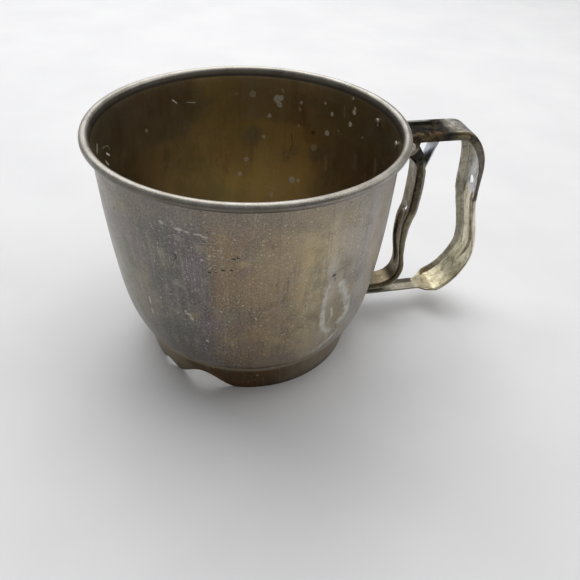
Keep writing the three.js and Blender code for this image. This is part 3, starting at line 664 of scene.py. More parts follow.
def foot_metal():
    N = Nodes("foot_metal")
    P = N.obj
    r, az, z = N.polar()
    m = N.wall_map(az, z)
    base = N.ramp(N.noise(N.scaled(P, (1, 1, 0.7)), 70.0, 6.0, 0.66), [
        (0.30, (0.075, 0.055, 0.030)), (0.48, (0.125, 0.092, 0.050)), (0.60, (0.185, 0.150, 0.095)), (0.75, (0.115, 0.068, 0.034))], "LINEAR")
    fr = N.math("MULTIPLY", N.range(az, math.radians(-150), math.radians(-118)), N.range(az, math.radians(-72), math.radians(-96)))
    base = N.mix(N.math("MULTIPLY", fr, 0.80), base, N.mix(N.range(N.noise(P, 160.0, 5.0, 0.65), 0.42, 0.62), (0.145, 0.062, 0.012), (0.085, 0.050, 0.018)))
    rt = N.math("MULTIPLY", N.range(az, math.radians(-90), math.radians(-62)), N.range(az, math.radians(10), math.radians(-30)))
    base = N.mix(N.math("MULTIPLY", rt, 0.55), base, (0.275, 0.225, 0.155))
    lf = N.math("MULTIPLY", N.range(az, math.radians(-176), math.radians(-168)), N.range(az, math.radians(-125), math.radians(-142)))
    base = N.mix(N.math("MULTIPLY", lf, 0.6), base, (0.34, 0.275, 0.165))
    # painted highlight along the upper edge of the ring
    base = N.mix(N.range(z, 0.0122, 0.0140, 0.0, 0.6), base, (0.36, 0.315, 0.235))
    # painted shade along the lower edge, towards the floor
    base = N.mix(N.range(z, 0.0045, 0.0, 0.0, 0.5), base, (0.050, 0.034, 0.020))
    streak = N.noise(N.scaled(m, (1, 0.12, 1)), 420.0, 4.0, 0.6)
    base = N.mix(N.range(streak, 0.52, 0.72, 0.0, 0.3), base, (0.30, 0.26, 0.19))
    f = N.math("MAXIMUM", N.math("MULTIPLY", flecks(N, m, 620.0, 0.34, 0.4, 3.3), 0.6), flecks(N, m, 260.0, 0.24, 0.15, 6.1))
    base = N.mix(N.math("MULTIPLY", f, 0.4), base, (0.42, 0.37, 0.28))
    s = scratches(N, m, 4, 0.04, 520.0, 0.012, 0.45)
    base = N.mix(N.math("MULTIPLY", s, 0.4), base, (0.42, 0.38, 0.30))
    metal = N.math("SUBTRACT", 0.95, N.math("MULTIPLY", f, 0.5))
    rough = N.math("ADD", N.math("MULTIPLY_ADD", N.noise(P, 200.0, 4.0, 0.6), 0.25, 0.25), N.math("MULTIPLY", f, 0.25), clamp=True)
    nrm = N.bump(N.math("MULTIPLY_ADD", N.noise(P, 2200.0, 3.0, 0.6), 0.4, f), 0.3, 0.00012)
    return N.done(base, metal, rough, nrm)


def handle_finish(name, trigger=False):
    """worn plating over steel: bright where it is sheltered or rubbed, and painted light on the far flanges' inner
    faces; brown-black tarnish outside, partly painted shade on the near faces; rust in the corners
    """
    N = Nodes(name)
    P = N.obj
    q = N.sep(N.vmath("SUBTRACT", P, (AX, 0, 0)))
    x, y, z = q[0], q[1], q[2]
    wv = N.math("MULTIPLY_ADD", N.noise(P, 210.0, 5.0, 0.65, 0.3), 0.006, -0.003)
    wz, wx, wy = N.math("ADD", z, wv), N.math("ADD", x, wv), N.math("ADD", y, N.math("MULTIPLY", wv, 0.35))
    big = N.noise(P, 75.0, 5.0, 0.62, 0.3, w=1.7 if not trigger else 8.4)
    fine = N.noise(P, 520.0, 6.0, 0.7, w=2.7)
    grit = N.noise(P, 1500.0, 4.0, 0.7)
    if not trigger:
        col = N.mix(N.range(big, 0.40, 0.62), (0.78, 0.73, 0.58), (0.58, 0.53, 0.39))
        # lower half of the grip: brown stain beside the rib, cleaner middle
        low = N.range(wz, 0.070, 0.064)
        stain = N.math("MULTIPLY", low, N.range(N.noise(N.scaled(P, (1, 1, 0.35)), 190.0, 5.0, 0.66, w=5.0), 0.47, 0.60))
        col = N.mix(N.math("MULTIPLY", stain, 0.6), col, (0.30, 0.24, 0.14))
        groove = N.math("MULTIPLY", low, N.math("MULTIPLY", N.range(wy, 0.0026, 0.0036), N.range(wy, 0.0062, 0.0050)))
        groove = N.math("MULTIPLY", groove, N.range(wz, 0.022, 0.032))
        col = N.mix(N.math("MULTIPLY", groove, 0.7), col, (0.16, 0.115, 0.055))
        # bright bend at the bottom
        bend = N.math("MULTIPLY", N.range(wz, 0.041, 0.028), N.range(wx, 0.0955, 0.0985))
        brt = N.mix(N.range(N.noise(P, 150.0, 4.0, 0.6, w=3.3), 0.42, 0.66), (0.80, 0.76, 0.57), (0.58, 0.53, 0.34))
        col = N.mix(N.math("MULTIPLY", bend, 0.85), col, brt)
        floor_side = N.math("MULTIPLY", bend, N.range(wz, 0.026, 0.018))
        col = N.mix(N.math("MULTIPLY", floor_side, 0.9), col, N.mix(N.range(N.noise(P, 210.0, 5.0, 0.66, w=8.3), 0.42, 0.62), (0.40, 0.37, 0.26), (0.25, 0.215, 0.13)))
        # browned turned-up side away from the eye; painted light on its lower far flange, a painted reflection of the
        # bright floor; and the shoulders
        farb = N.math("MULTIPLY", N.range(wy, 0.0062, 0.0072), N.range(wz, 0.030, 0.020))
        col = N.mix(N.math("MULTIPLY", farb, 0.6), col, (0.27, 0.205, 0.11))
        far_flange_painted_light = N.math("MULTIPLY", N.math("MULTIPLY", N.range(y, 0.0056, 0.0064), N.range(z, 0.070, 0.064)), N.range(z, 0.012, 0.018))
        col = N.mix(N.math("MULTIPLY", far_flange_painted_light, 0.6), col, N.mix(N.range(fine, 0.40, 0.60), (0.90, 0.86, 0.72), (0.66, 0.61, 0.46)))
        sh = N.math("MULTIPLY", N.math("MULTIPLY", N.range(wx, 0.0885, 0.0905), N.range(wx, 0.0985, 0.0965)), N.range(wz, 0.020, 0.014))
        col = N.mix(N.math("MULTIPLY", sh, 0.7), col, (0.235, 0.19, 0.095))
        # narrow strap along the bottom
        ns = N.math("MULTIPLY", N.range(wx, 0.0900, 0.0880), N.range(wz, 0.020, 0.014))
        col = N.mix(N.math("MULTIPLY", ns, 0.8), col, N.mix(N.range(fine, 0.42, 0.62), (0.24, 0.228, 0.19), (0.14, 0.125, 0.095)))
        # painted shade in the bottom strap's channel, behind its near edge
        low_strap_painted_shade = N.math("MULTIPLY", N.math("MULTIPLY", ns, N.range(z, 0.0101, 0.0104)), N.math("MULTIPLY", N.math("MULTIPLY", N.range(y, 0.0002, 0.0012), N.range(wx, 0.070, 0.077)), N.range(wx, 0.0925, 0.089)))
        col = N.mix(N.math("MULTIPLY", low_strap_painted_shade, 0.9), col, (0.035, 0.03, 0.025))
        # upper half of the grip: slate inside; the far flange's inner face painted light, partly its clean plating; the
        # near outer face dark brown, partly tarnish and partly painted shade
        upg = N.math("MULTIPLY", N.range(wz, 0.065, 0.069), N.range(wx, 0.0945, 0.098))
        col = N.mix(N.math("MULTIPLY", upg, 0.85), col, (0.54, 0.56, 0.58))
        farf = N.math("MULTIPLY", upg, N.range(y, 0.0060, 0.0066))
        col = N.mix(farf, col, N.mix(N.range(fine, 0.40, 0.62), (0.95, 0.90, 0.76), (0.80, 0.74, 0.59)))
        nearf = N.math("MULTIPLY", N.range(wz, 0.0655, 0.0675), N.range(y, -0.0069, -0.00725))
        brown = N.mix(N.range(N.noise(P, 260.0, 5.0, 0.66, w=6.1), 0.42, 0.62), (0.085, 0.072, 0.055), (0.165, 0.135, 0.095))
        col = N.mix(N.math("MULTIPLY", nearf, 0.95), col, brown)
        # a dark spot where the near flange ends: partly rust, partly painted shade inside the flange
        notch = N.math("MULTIPLY", N.math("MULTIPLY", N.range(z, 0.0632, 0.0645), N.range(z, 0.0690, 0.0672)), N.range(y, -0.0045, -0.0060))
        col = N.mix(N.math("MULTIPLY", notch, 0.9), col, (0.05, 0.045, 0.04))
        # top of the handle
        top = N.math("MULTIPLY", N.range(z, 0.0945, 0.0960), N.range(wx, 0.0905, 0.0860))
        black = N.mix(N.range(N.noise(P, 330.0, 5.0, 0.7, w=7.1), 0.42, 0.60), (0.006, 0.005, 0.0035), (0.024, 0.020, 0.014))
        col = N.mix(top, col, black)
        topside = N.math("MULTIPLY", N.range(y, -0.0069, -0.0072), N.range(z, 0.0925, 0.0945))
        col = N.mix(N.math("MULTIPLY", topside, 0.92), col, N.mix(N.range(N.noise(P, 330.0, 6.0, 0.72, 0.4, w=5.1), 0.42, 0.62), (0.028, 0.023, 0.017), (0.165, 0.140, 0.10)))
        rustm = N.math("MULTIPLY", N.math("MULTIPLY", top, N.range(N.noise(P, 300.0, 6.0, 0.72, 0.5, w=2.0), 0.47, 0.56)), N.range(wy, -0.002, -0.006))
        rustm = N.math("MULTIPLY", rustm, N.range(wx, 0.0865, 0.0820))
        rustm = N.math("MULTIPLY", rustm, N.range(y, -0.0063, -0.0070, 0.35, 1.0))
        col = N.mix(N.math("MULTIPLY", rustm, 0.9), col, (0.17, 0.075, 0.026))
        honey = N.math("MULTIPLY", N.math("MULTIPLY", N.range(z, 0.0965, 0.0975), N.range(y, -0.0066, -0.0070)), N.range(N.noise(P, 190.0, 5.0, 0.66, w=12.0), 0.46, 0.60))
        col = N.mix(N.math("MULTIPLY", honey, 0.6), col, (0.24, 0.19, 0.095))
        # painted highlight along the raised far shoulder of the top
        farrim = N.math("MULTIPLY", N.math("MULTIPLY", top, N.range(y, 0.0050, 0.0057)), N.range(wx, 0.084, 0.080))
        col = N.mix(N.math("MULTIPLY", farrim, 0.85), col, (0.36, 0.35, 0.33))
        smooth_ = N.math("MULTIPLY", N.math("MULTIPLY", N.range(z, 0.0965, 0.0975), N.range(wx, 0.0830, 0.0865)), N.range(wx, 0.0925, 0.0895))
        col = N.mix(N.math("MULTIPLY", smooth_, 0.8), col, (0.028, 0.026, 0.023))
        corner = N.math("MULTIPLY", N.math("MULTIPLY", N.range(wx, 0.0895, 0.0925), N.range(wz, 0.0855, 0.0900)), N.range(y, -0.0069, -0.0062))
        speck = N.mix(N.range(grit, 0.44, 0.58), (0.28, 0.265, 0.24), (0.72, 0.70, 0.66))
        speck = N.mix(N.range(N.noise(P, 260.0, 5.0, 0.7, w=9.0), 0.46, 0.60), speck, (0.145, 0.125, 0.10))
        col = N.mix(N.math("MULTIPLY", corner, 0.9), col, speck)
        rough_zone = N.math("MAXIMUM", top, rustm)
        oxide = rustm
        shine_zone = upg
    else:
        col = N.mix(N.range(big, 0.40, 0.62), (0.235, 0.198, 0.140), (0.135, 0.108, 0.070))
        stain = N.range(N.noise(N.scaled(P, (1, 1, 0.4)), 170.0, 5.0, 0.66, w=5.0), 0.50, 0.64)
        col = N.mix(N.math("MULTIPLY", stain, 0.5), col, (0.50, 0.46, 0.37))
        # pressed oval of the lower half: dark inside, partly grease and partly painted shade in the hollow, with a
        # painted highlight along its near edge
        lowr = N.math("MULTIPLY", N.range(wz, 0.0595, 0.0560), N.range(wz, 0.0245, 0.0280))
        mid = N.math("MULTIPLY", lowr, N.range(N.math("ABSOLUTE", wy), 0.0041, 0.0034))
        col = N.mix(N.math("MULTIPLY", mid, 0.9), col, N.mix(N.range(fine, 0.42, 0.6), (0.145, 0.108, 0.062), (0.07, 0.052, 0.03)))
        edge_ = N.math("MULTIPLY", lowr, N.range(wy, -0.0036, -0.0041))
        col = N.mix(N.math("MULTIPLY", edge_, 0.5), col, (0.42, 0.38, 0.27))
        # outer sides dark, as painted shade on the flanges' outer faces
        sides = N.range(N.math("ABSOLUTE", y), 0.0044, 0.0049)
        sides = N.math("MULTIPLY", sides, N.range(wz, 0.055, 0.061))
        col = N.mix(N.math("MULTIPLY", sides, 0.95), col, N.mix(N.range(fine, 0.42, 0.6), (0.042, 0.034, 0.023), (0.09, 0.072, 0.048)))
        # painted shade on the lower outer sides too
        sides2 = N.math("MULTIPLY", N.range(N.math("ABSOLUTE", y), 0.0044, 0.0049), N.range(wz, 0.061, 0.055))
        col = N.mix(N.math("MULTIPLY", sides2, 0.7), col, N.mix(N.range(fine, 0.40, 0.62), (0.155, 0.13, 0.08), (0.065, 0.05, 0.028)))
        # ears, blackened
        ears = N.range(wz, 0.0835, 0.0870)
        col = N.mix(N.math("MULTIPLY", ears, 0.9), col, N.mix(N.range(fine, 0.42, 0.6), (0.020, 0.017, 0.013), (0.055, 0.046, 0.033)))
        # toe, rubbed smoother, dark brown
        toe = N.range(wz, 0.0275, 0.0225)
        col = N.mix(N.math("MULTIPLY", toe, 0.75), col, N.mix(N.range(N.noise(P, 240.0, 5.0, 0.66, w=4.1), 0.45, 0.62), (0.085, 0.068, 0.036), (0.035, 0.026, 0.013)))
        rough_zone = ears
        oxide, far_flange_painted_light = N.math("MULTIPLY", ears, 0.0), 0.0
        shine_zone = toe
    pale = N.math("MULTIPLY", flecks(N, P, 900.0, 0.32, 0.22, 1.1), N.math("SUBTRACT", 1.0, rough_zone))
    col = N.mix(N.math("MULTIPLY", pale, 0.4), col, (0.64, 0.60, 0.50))
    pits = flecks(N, P, 640.0, 0.28, 0.26, 2.6)
    col = N.mix(N.math("MULTIPLY", pits, 0.5), col, (0.07, 0.055, 0.035))
    col = N.mix(N.range(fine, 0.52, 0.70, 0.0, 0.30), col, (0.10, 0.08, 0.05))
    g = N.t.nodes.new("ShaderNodeNewGeometry")
    edge = N.math("MULTIPLY", N.math("SUBTRACT", 1.0, N.math("MULTIPLY", rough_zone, 0.7)), N.range(N.math("ADD", g.outputs["Pointiness"], N.math("MULTIPLY_ADD", fine, 0.03, -0.015)), 0.515, 0.56))
    col = N.mix(N.math("MULTIPLY", edge, 0.35), col, (0.60, 0.565, 0.48))
    # darker in the folds, and grime in blotches beside them
    dip = N.range(N.math("ADD", g.outputs["Pointiness"], N.math("MULTIPLY_ADD", fine, 0.04, -0.02)), 0.492, 0.455)
    col = N.mix(N.math("MULTIPLY", dip, 0.85), col, (0.055, 0.040, 0.022))
    blot = N.range(N.noise(N.scaled(P, (1, 1, 0.5)), 330.0, 6.0, 0.72, 0.5, w=15.0), 0.50, 0.62)
    col = N.mix(N.math("MULTIPLY", blot, 0.5 if not trigger else 0.62), col, (0.105, 0.080, 0.045))
    metal = N.math("SUBTRACT", 0.96, N.math("ADD", N.math("MULTIPLY", oxide, 0.45), N.math("MULTIPLY", far_flange_painted_light, 0.80)))
    rg = N.math("MULTIPLY_ADD", fine, 0.24, 0.27)
    rg = N.math("ADD", rg, N.math("MULTIPLY", rough_zone, 0.42))
    rg = N.math("SUBTRACT", rg, N.math("MULTIPLY", shine_zone, 0.06), clamp=True)
    h = N.math("ADD", N.math("MULTIPLY", grit, 0.4), N.math("MULTIPLY", N.math("MULTIPLY", fine, rough_zone), 1.4))
    h = N.math("SUBTRACT", h, N.math("MULTIPLY", pits, 0.6))
    nrm = N.bump(h, 0.45, 0.00016)
    nrm = N.bump(N.noise(P, 230.0, 4.0, 0.55, w=3.9), 0.22, 0.0005, nrm)
    return N.done(col, metal, rg, nrm)


def plain_steel(name, light, dark, scale, rough, seed, bumps=0.3):
    """small turned and stamped pieces: plated steel gone dull, with grime and rubbed spots"""
    N = Nodes(name)
    P = N.obj
    big = N.noise(P, scale, 5.0, 0.62, 0.2, w=seed)
    col = N.mix(N.range(big, 0.38, 0.64), light, dark)
    grime = N.range(N.noise(P, scale * 4.5, 5.0, 0.68, w=seed + 2), 0.50, 0.68)
    col = N.mix(N.math("MULTIPLY", grime, 0.6), col, tuple(c * 0.45 for c in dark))
    f = flecks(N, P, 700.0, 0.3, 0.25, seed)
    col = N.mix(N.math("MULTIPLY", f, 0.5), col, (0.72, 0.68, 0.6))
    metal = N.math("SUBTRACT", 0.96, N.math("MULTIPLY", N.math("MAXIMUM", f, N.math("MULTIPLY", grime, 0.5)), 0.5))
    rg = N.math("ADD", N.math("MULTIPLY_ADD", N.noise(P, 350.0, 4.0, 0.6), 0.2, rough - 0.08), N.math("MULTIPLY", grime, 0.25), clamp=True)
    nrm = N.bump(N.noise(P, 1800.0, 4.0, 0.65), bumps, 0.0001)
    return N.done(col, metal, rg, nrm)


def spring_metal():
    N = Nodes("spring_metal")
    P = N.obj
    along = N.noise(N.scaled(P, (1, 1, 0.06)), 900.0, 3.0, 0.6)
    big = N.noise(P, 130.0, 4.0, 0.6)
    col = N.mix(N.range(big, 0.4, 0.65), (0.62, 0.66, 0.72), (0.45, 0.475, 0.51))
    col = N.mix(N.range(along, 0.52, 0.7, 0.0, 0.35), col, (0.74, 0.77, 0.81))
    rust = N.range(N.noise(P, 420.0, 5.0, 0.7), 0.60, 0.72)
    col = N.mix(N.math("MULTIPLY", rust, 0.6), col, (0.20, 0.13, 0.07))
    rough = N.math("ADD", N.math("MULTIPLY_ADD", along, 0.12, 0.20), N.math("MULTIPLY", rust, 0.3), clamp=True)
    nrm = N.bump(along, 0.12, 0.0001)
    return N.done(col, N.math("SUBTRACT", 0.97, N.math("MULTIPLY", rust, 0.5)), rough, nrm)


# where the marks on the walls are: azimuth from the handle (deg), height (mm), size across and up (mm), and strength
GOLDEN = [(-89.3, 39.0, 6.0, 5.0, 1.0), (-77.5, 81.0, 7.0, 9.0, 0.8), (-80.0, 62.0, 9.0, 14.0, 0.7), (-101.0, 80.5, 3.0, 2.0, 0.9), (-72.0, 70.0, 4.0, 9.0, 0.7)]
CHIPS = [(-122.2, 92.2, 1.9, 0.75, 1.0), (-119.4, 91.7, 1.2, 0.5, 0.7), (-115.5, 91.4, 1.8, 0.55, 0.75), (-113.6, 90.8, 1.4, 0.5, 0.7), (-128.2, 93.1, 1.0, 0.9, 0.7),
         (-115.0, 80.5, 0.6, 0.6, 0.8), (-112.2, 82.6, 0.7, 0.6, 0.7), (-140.7, 49.8, 0.7, 2.6, 0.75), (-140.9, 43.6, 0.7, 1.6, 0.7), (-134.0, 55.0, 0.5, 0.7, 0.7),
         (-122.4, 51.2, 1.5, 0.8, 0.7), (-121.2, 49.2, 0.9, 1.1, 0.75), (-123.5, 52.4, 0.6, 0.6, 0.8), (-116.1, 37.6, 0.8, 0.9, 0.95), (-109.5, 56.0, 0.5, 0.5, 0.7),
         (-131.5, 66.0, 0.5, 0.5, 0.6), (-118.2, 70.5, 0.5, 0.5, 0.6), (140.0, 60.0, 1.6, 0.8, 0.8), (95.0, 40.0, 0.9, 1.8, 0.7), (60.0, 80.0, 1.4, 0.6, 0.8), (-15.0, 55.0, 1.0, 1.8, 0.7)]
DARK_MARKS = [(-112.6, 75.4, 0.75, 0.32, 1.0), (-110.4, 75.8, 0.65, 0.3, 1.0), (-107.9, 77.0, 0.85, 0.36, 1.0), (-105.2, 77.4, 0.8, 0.42, 1.0),
              (-104.3, 82.5, 1.0, 0.38, 1.0), (-102.7, 82.9, 0.6, 0.3, 0.9), (-67.3, 67.4, 1.3, 1.0, 0.85), (-140.4, 35.4, 0.5, 0.7, 0.8), (-66.5, 65.0, 0.5, 1.3, 0.5),
              (-119.0, 58.0, 0.5, 0.5, 0.7), (-90.0, 70.0, 0.4, 0.6, 0.6), (-152.0, 88.0, 0.6, 1.4, 0.7)]
PALE = [(-129.8, 79.7, 2.4, 2.6, 0.8), (-137.0, 78.2, 1.2, 1.2, 0.6), (-130.0, 62.3, 1.8, 2.4, 0.5), (-115.6, 85.4, 2.6, 2.6, 0.55), (-120.3, 36.0, 2.2, 2.6, 0.6), (-161.4, 93.0, 1.2, 1.0, 0.6),
        (120.0, 70.0, 2.6, 3.6, 0.6), (30.0, 50.0, 2.2, 3.0, 0.6)]
SPOTS = [(78.7, 93.9, 1.75, 0.45), (67.0, 92.3, 2.1, 0.80), (66.0, 89.6, 1.5, 0.75), (65.2, 93.2, 1.4, 0.7), (64.8, 97.0, 0.55, 0.6), (55.5, 92.2, 0.8, 0.8), (56.0, 88.9, 0.8, 0.6), (56.0, 80.2, 0.85, 0.5),
         (70.6, 83.3, 1.1, 0.75), (73.2, 71.8, 1.05, 0.7), (43.4, 94.9, 0.75, 0.7), (39.3, 90.4, 1.05, 1.0), (41.0, 80.3, 1.45, 1.0), (27.2, 95.6, 1.2, 1.0), (27.0, 97.4, 0.8, 0.8),
         (28.6, 89.1, 1.25, 1.0), (28.9, 101.5, 0.6, 0.7), (81.9, 58.9, 1.25, 0.85), (85.2, 50.6, 1.2, 0.9), (95.6, 57.8, 0.9, 0.3), (57.5, 49.8, 1.75, 1.0), (54.1, 50.2, 0.95, 0.85),
         (68.1, 40.2, 0.8, 0.8), (68.3, 38.6, 0.9, 0.8), (47.3, 70.4, 1.9, 0.35), (86.2, 93.9, 0.9, 0.3), (132.1, 84.2, 0.9, 0.45), (20.0, 86.0, 0.6, 0.6), (35.0, 83.5, 0.5, 0.6),
         (-128.0, 80.0, 1.1, 0.7), (-70.0, 70.0, 1.4, 0.7), (-95.0, 85.0, 1.0, 0.7), (-160.0, 72.0, 1.3, 0.8), (-20.0, 78.0, 1.1, 0.7)]
INSIDE_MARKS = [([(116.5, 94.6), (114.6, 92.6)], 0.42, 0.85), ([(109.5, 92.0), (105.6, 91.2)], 0.30, 0.6), ([(173.0, 92.6), (170.4, 95.4)], 0.42, 0.95), ([(162.4, 86.8), (160.2, 85.0)], 0.6, 0.95),
                ([(164.8, 84.6), (162.6, 81.6)], 0.45, 0.8), ([(166.0, 91.0), (160.5, 89.6), (158.6, 86.8)], 0.20, 0.5), ([(40.2, 67.5), (39.6, 61.0)], 1.4, 0.10), ([(23.0, 75.5), (22.2, 69.0)], 1.7, 0.10),
                ([(33.0, 97.0), (32.6, 91.5)], 0.6, 0.14), ([(71.5, 43.8), (65.0, 42.6)], 0.4, 0.16), ([(8.0, 80.0), (6.0, 70.0)], 1.9, 0.10), ([(14.0, 70.0), (13.0, 62.0)], 1.7, 0.09)]


# =====================================================================
# finishes
# =====================================================================
M_OUT = cup_outside()
M_IN = cup_inside()
M_RIM = rim_metal()
M_FOOT = foot_metal()
M_STRAP = handle_finish("strap_metal")
M_TRIG = handle_finish("trigger_metal", trigger=True)
M_SPRING = spring_metal()
M_RIVET = plain_steel("rivet_metal", (0.56, 0.53, 0.47), (0.32, 0.28, 0.22), 260.0, 0.30, 2.6)
M_WIRE = plain_steel("wire_metal", (0.52, 0.48, 0.41), (0.30, 0.26, 0.19), 150.0, 0.32, 5.5)
M_INNER = plain_steel("agitator_metal", (0.48, 0.43, 0.34), (0.27, 0.225, 0.155), 95.0, 0.32, 9.1)
M_SCREEN = plain_steel("screen_metal", (0.46, 0.43, 0.37), (0.28, 0.245, 0.19), 60.0, 0.38, 12.3, 0.15)


# =====================================================================
# cup
# =====================================================================
WALL = [(15.3, 50.9), (15.9, 51.6), (17.2, 52.8), (20.0, 54.3), (24.2, 55.9), (30.0, 57.5), (38.5, 59.0),
        (52.5, 60.5), (72.0, 61.9), (98.5, 62.8), (102.6, 63.1)]
WALL_T = 0.7
BEAD_C = (64.7, 104.9)
LEDGE_R, LEDGE_Z, LEDGE_T = 46.8, 15.3, 0.6


def wrap_deg(d):
    return (d + 180.0) % 360.0 - 180.0


def dents(az, z):
    """small hollows and swellings of the worn wall, mm outwards"""
    a = wrap_deg(math.degrees(az))
    v = 0.16 * noise.noise(Vector((math.cos(az) * 1.7, math.sin(az) * 1.7, z / 42.0)))
    v += 0.07 * noise.noise(Vector((math.cos(az) * 5.0 + 3.0, math.sin(az) * 5.0, z / 15.0)))
    for azd, zz, sa, sz, h in DENTS:
        u = wrap_deg(a - azd) / sa
        w = (z - zz) / sz
        q = u * u + w * w
        if q < 9:
            v += h * math.exp(-q)
    return v * smoothstep(16.5, 26.0, z) * (1 - smoothstep(96.0, 101.0, z))


# azimuth (deg), height, half widths (deg, mm) and depth of each dent
DENTS = [(-63.3, 50.0, 4.6, 17.0, -1.25), (-63.0, 36.0, 3.6, 6.0, -0.6), (-55.4, 47.0, 3.0, 13.0, 0.55), (-71.2, 50.0, 2.8, 14.0, 0.45),
         (-67.3, 67.4, 1.6, 2.2, -0.35), (-113.0, 82.0, 6.0, 7.0, -0.22), (-161.0, 88.0, 2.2, 4.0, -0.35), (-166.0, 81.0, 2.0, 3.0, -0.25),
         (-130.0, 47.0, 3.0, 8.0, -0.25), (60.0, 55.0, 8.0, 12.0, -0.35), (120.0, 40.0, 6.0, 9.0, -0.3), (-20.0, 60.0, 6.0, 12.0, 0.25),
         (-62.0, 24.0, 6.0, 3.0, -0.35)]


def out_r(z):
    return catmull_at(WALL_FINE, z)


def catmull_at(fine, z):
    if z <= fine[0][1]:
        return fine[0][0]
    for a, b in zip(fine, fine[1:]):
        if z <= b[1]:
            t = (z - a[1]) / max(b[1] - a[1], 1e-9)
            return lerp(a[0], b[0], t)
    return fine[-1][0]


WALL_FINE = [tuple(p) for p in catmull([(r, z) for z, r in WALL], 1.6)]

prof, tag = [], []


def push(r, z, t):
    prof.append((r, z))
    tag.append(t)


push(LEDGE_R, LEDGE_Z, "in")
push(48.8, LEDGE_Z, "in")
push(50.2, LEDGE_Z, "out")
for r, z in WALL_FINE:
    zz = z
    push(r, zz, "out")
for k in range(13):                                  # inside of the curl
    t = math.radians(180 + (-115 - 180) * k / 12)
    if k == 0:
        continue
    push(BEAD_C[0] + 1.2 * math.cos(t), BEAD_C[1] + 1.2 * math.sin(t), "rim")
for k in range(33):                                  # outside of the curl
    t = math.radians(-120 + 300 * k / 32)
    push(BEAD_C[0] + 1.8 * math.cos(t), BEAD_C[1] + 1.8 * math.sin(t), "rim")
inner = []
for i, (r, z) in enumerate(WALL_FINE):
    a, b = WALL_FINE[max(i - 1, 0)], WALL_FINE[min(i + 1, len(WALL_FINE) - 1)]
    l = math.hypot(b[0] - a[0], b[1] - a[1])
    p = (r - WALL_T * (b[1] - a[1]) / l, z + WALL_T * (b[0] - a[0]) / l)
    if p[1] > LEDGE_Z + LEDGE_T + 0.9:
        inner.append(p)
for r, z in reversed(inner):
    push(r, z, "in")
push(51.35, 16.35, "in")
push(50.4, LEDGE_Z + LEDGE_T + 0.05, "in")
push(49.4, LEDGE_Z + LEDGE_T, "in")
push(LEDGE_R + 0.1, LEDGE_Z + LEDGE_T, "in")
push(LEDGE_R - 0.05, LEDGE_Z + LEDGE_T / 2, "in")


def cup_warp(r, z, a, i):
    if tag[i] == "rim":
        w = 0.12 * noise.noise(Vector((math.cos(a) * 1.4, math.sin(a) * 1.4, 4.0)))
        return r + w, z + 0.10 * noise.noise(Vector((math.cos(a) * 2.2, math.sin(a) * 2.2, 9.0)))
    v = dents(a, z)
    if tag[i] == "out":
        v -= 0.16 * math.exp(-((z - 99.9) / 0.55) ** 2)        # faint rolled line under the rim
    return r + v, z


SEGS = 288
mat_index = {"out": 0, "in": 1, "rim": 2}
cup = lathe("cup_wall", prof, SEGS, (M_OUT, M_IN, M_RIM),
            lambda i: mat_index[tag[i]] if tag[i] == tag[(i + 1) % len(tag)] or tag[i] == "out" and tag[(i + 1) % len(tag)] == "out"
            else (0 if "out" in (tag[i], tag[(i + 1) % len(tag)]) and "rim" not in (tag[i], tag[(i + 1) % len(tag)]) else 2 if tag[i] == "rim" and tag[(i + 1) % len(tag)] == "rim" else mat_index[tag[i]]),
            cup_warp, angle=50)


def block(name, x0, x1, y0, y1, z0, z1):
    v = [((AX / MM + x) * MM, y * MM, z * MM) for x in (x0, x1) for y in (y0, y1) for z in (z0, z1)]
    f = [[0, 1, 3, 2], [4, 6, 7, 5], [0, 4, 5, 1], [2, 3, 7, 6], [0, 2, 6, 4], [1, 5, 7, 3]]
    return mesh_object(name, v, f)


def P3(x, y, z):
    """a point about the cup's axis, mm, in the row frame's mm"""
    return (AX / MM + x, y, z)


def around(az, r, z):
    a = math.radians(az)
    return P3(r * math.cos(a), r * math.sin(a), z)


slot_cut = bevel(block("slot_cut", 49, 58, -6, 6, 16.9, 20.7), 1.2, 40, 4)
cuts = [slot_cut] + [rod("cut", around(s * 11.05, 58, 97.5), around(s * 11.05, 68, 97.5), 1.6, 24) for s in (-1, 1)]
boolean(cup, cuts, angle=40)
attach(cup, "cup")
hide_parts("cup_shell")


# =====================================================================
# foot ring
# =====================================================================
def foot_edge(a):
    """height of the scalloped lower edge"""
    d = math.degrees(a)
    h = 0.0
    for azd, half, top in ((-124.0, 18.6, 8.0), (-4.0, 18.6, 8.0), (116.0, 18.6, 8.0), (-149.0, 8.5, 3.0)):
        u = wrap_deg(d - azd) / half
        if abs(u) < 1:
            h = max(h, top * math.cos(u * math.pi / 2) ** 2)
    return h + 0.0


def foot_r(z):
    return 48.4 + 2.7 * z / 14.5


ring_prof = []
ring_rows = 14
for k in range(ring_rows + 1):                       # outside, up
    ring_prof.append(("o", k / ring_rows))
ring_fixed = [(51.12, 14.55), (51.05, 14.85), (50.85, 15.0), (50.45, 15.0), (50.25, 14.8), (50.2, 14.4), (50.12, 13.98),
              (49.9, 13.9), (48.4, 13.9), (46.9, 13.9), (46.75, 13.6), (46.9, 13.3), (48.4, 13.3), (49.6, 13.3), (49.98, 13.15)]
for p in ring_fixed:
    ring_prof.append(("f", p))
for k in range(ring_rows + 1):                       # inside, down
    ring_prof.append(("i", 1 - k / ring_rows))
ring_prof.append(("e", 0))


def ring_warp(r, z, a, i):
    kind, v = ring_prof[i]
    e = foot_edge(a)
    wob = 0.10 * noise.noise(Vector((math.cos(a) * 3.1, math.sin(a) * 3.1, 2.0)))
    if kind == "o":
        zz = e + 0.12 + (14.3 - e - 0.12) * v
        return foot_r(zz) + wob * (1 - v), zz
    if kind == "i":
        zz = e + 0.12 + (12.9 - e - 0.12) * v
        return foot_r(zz) - 0.8 + wob * (1 - v), zz
    if kind == "e":
        return foot_r(e) - 0.4 + wob, e
    return v


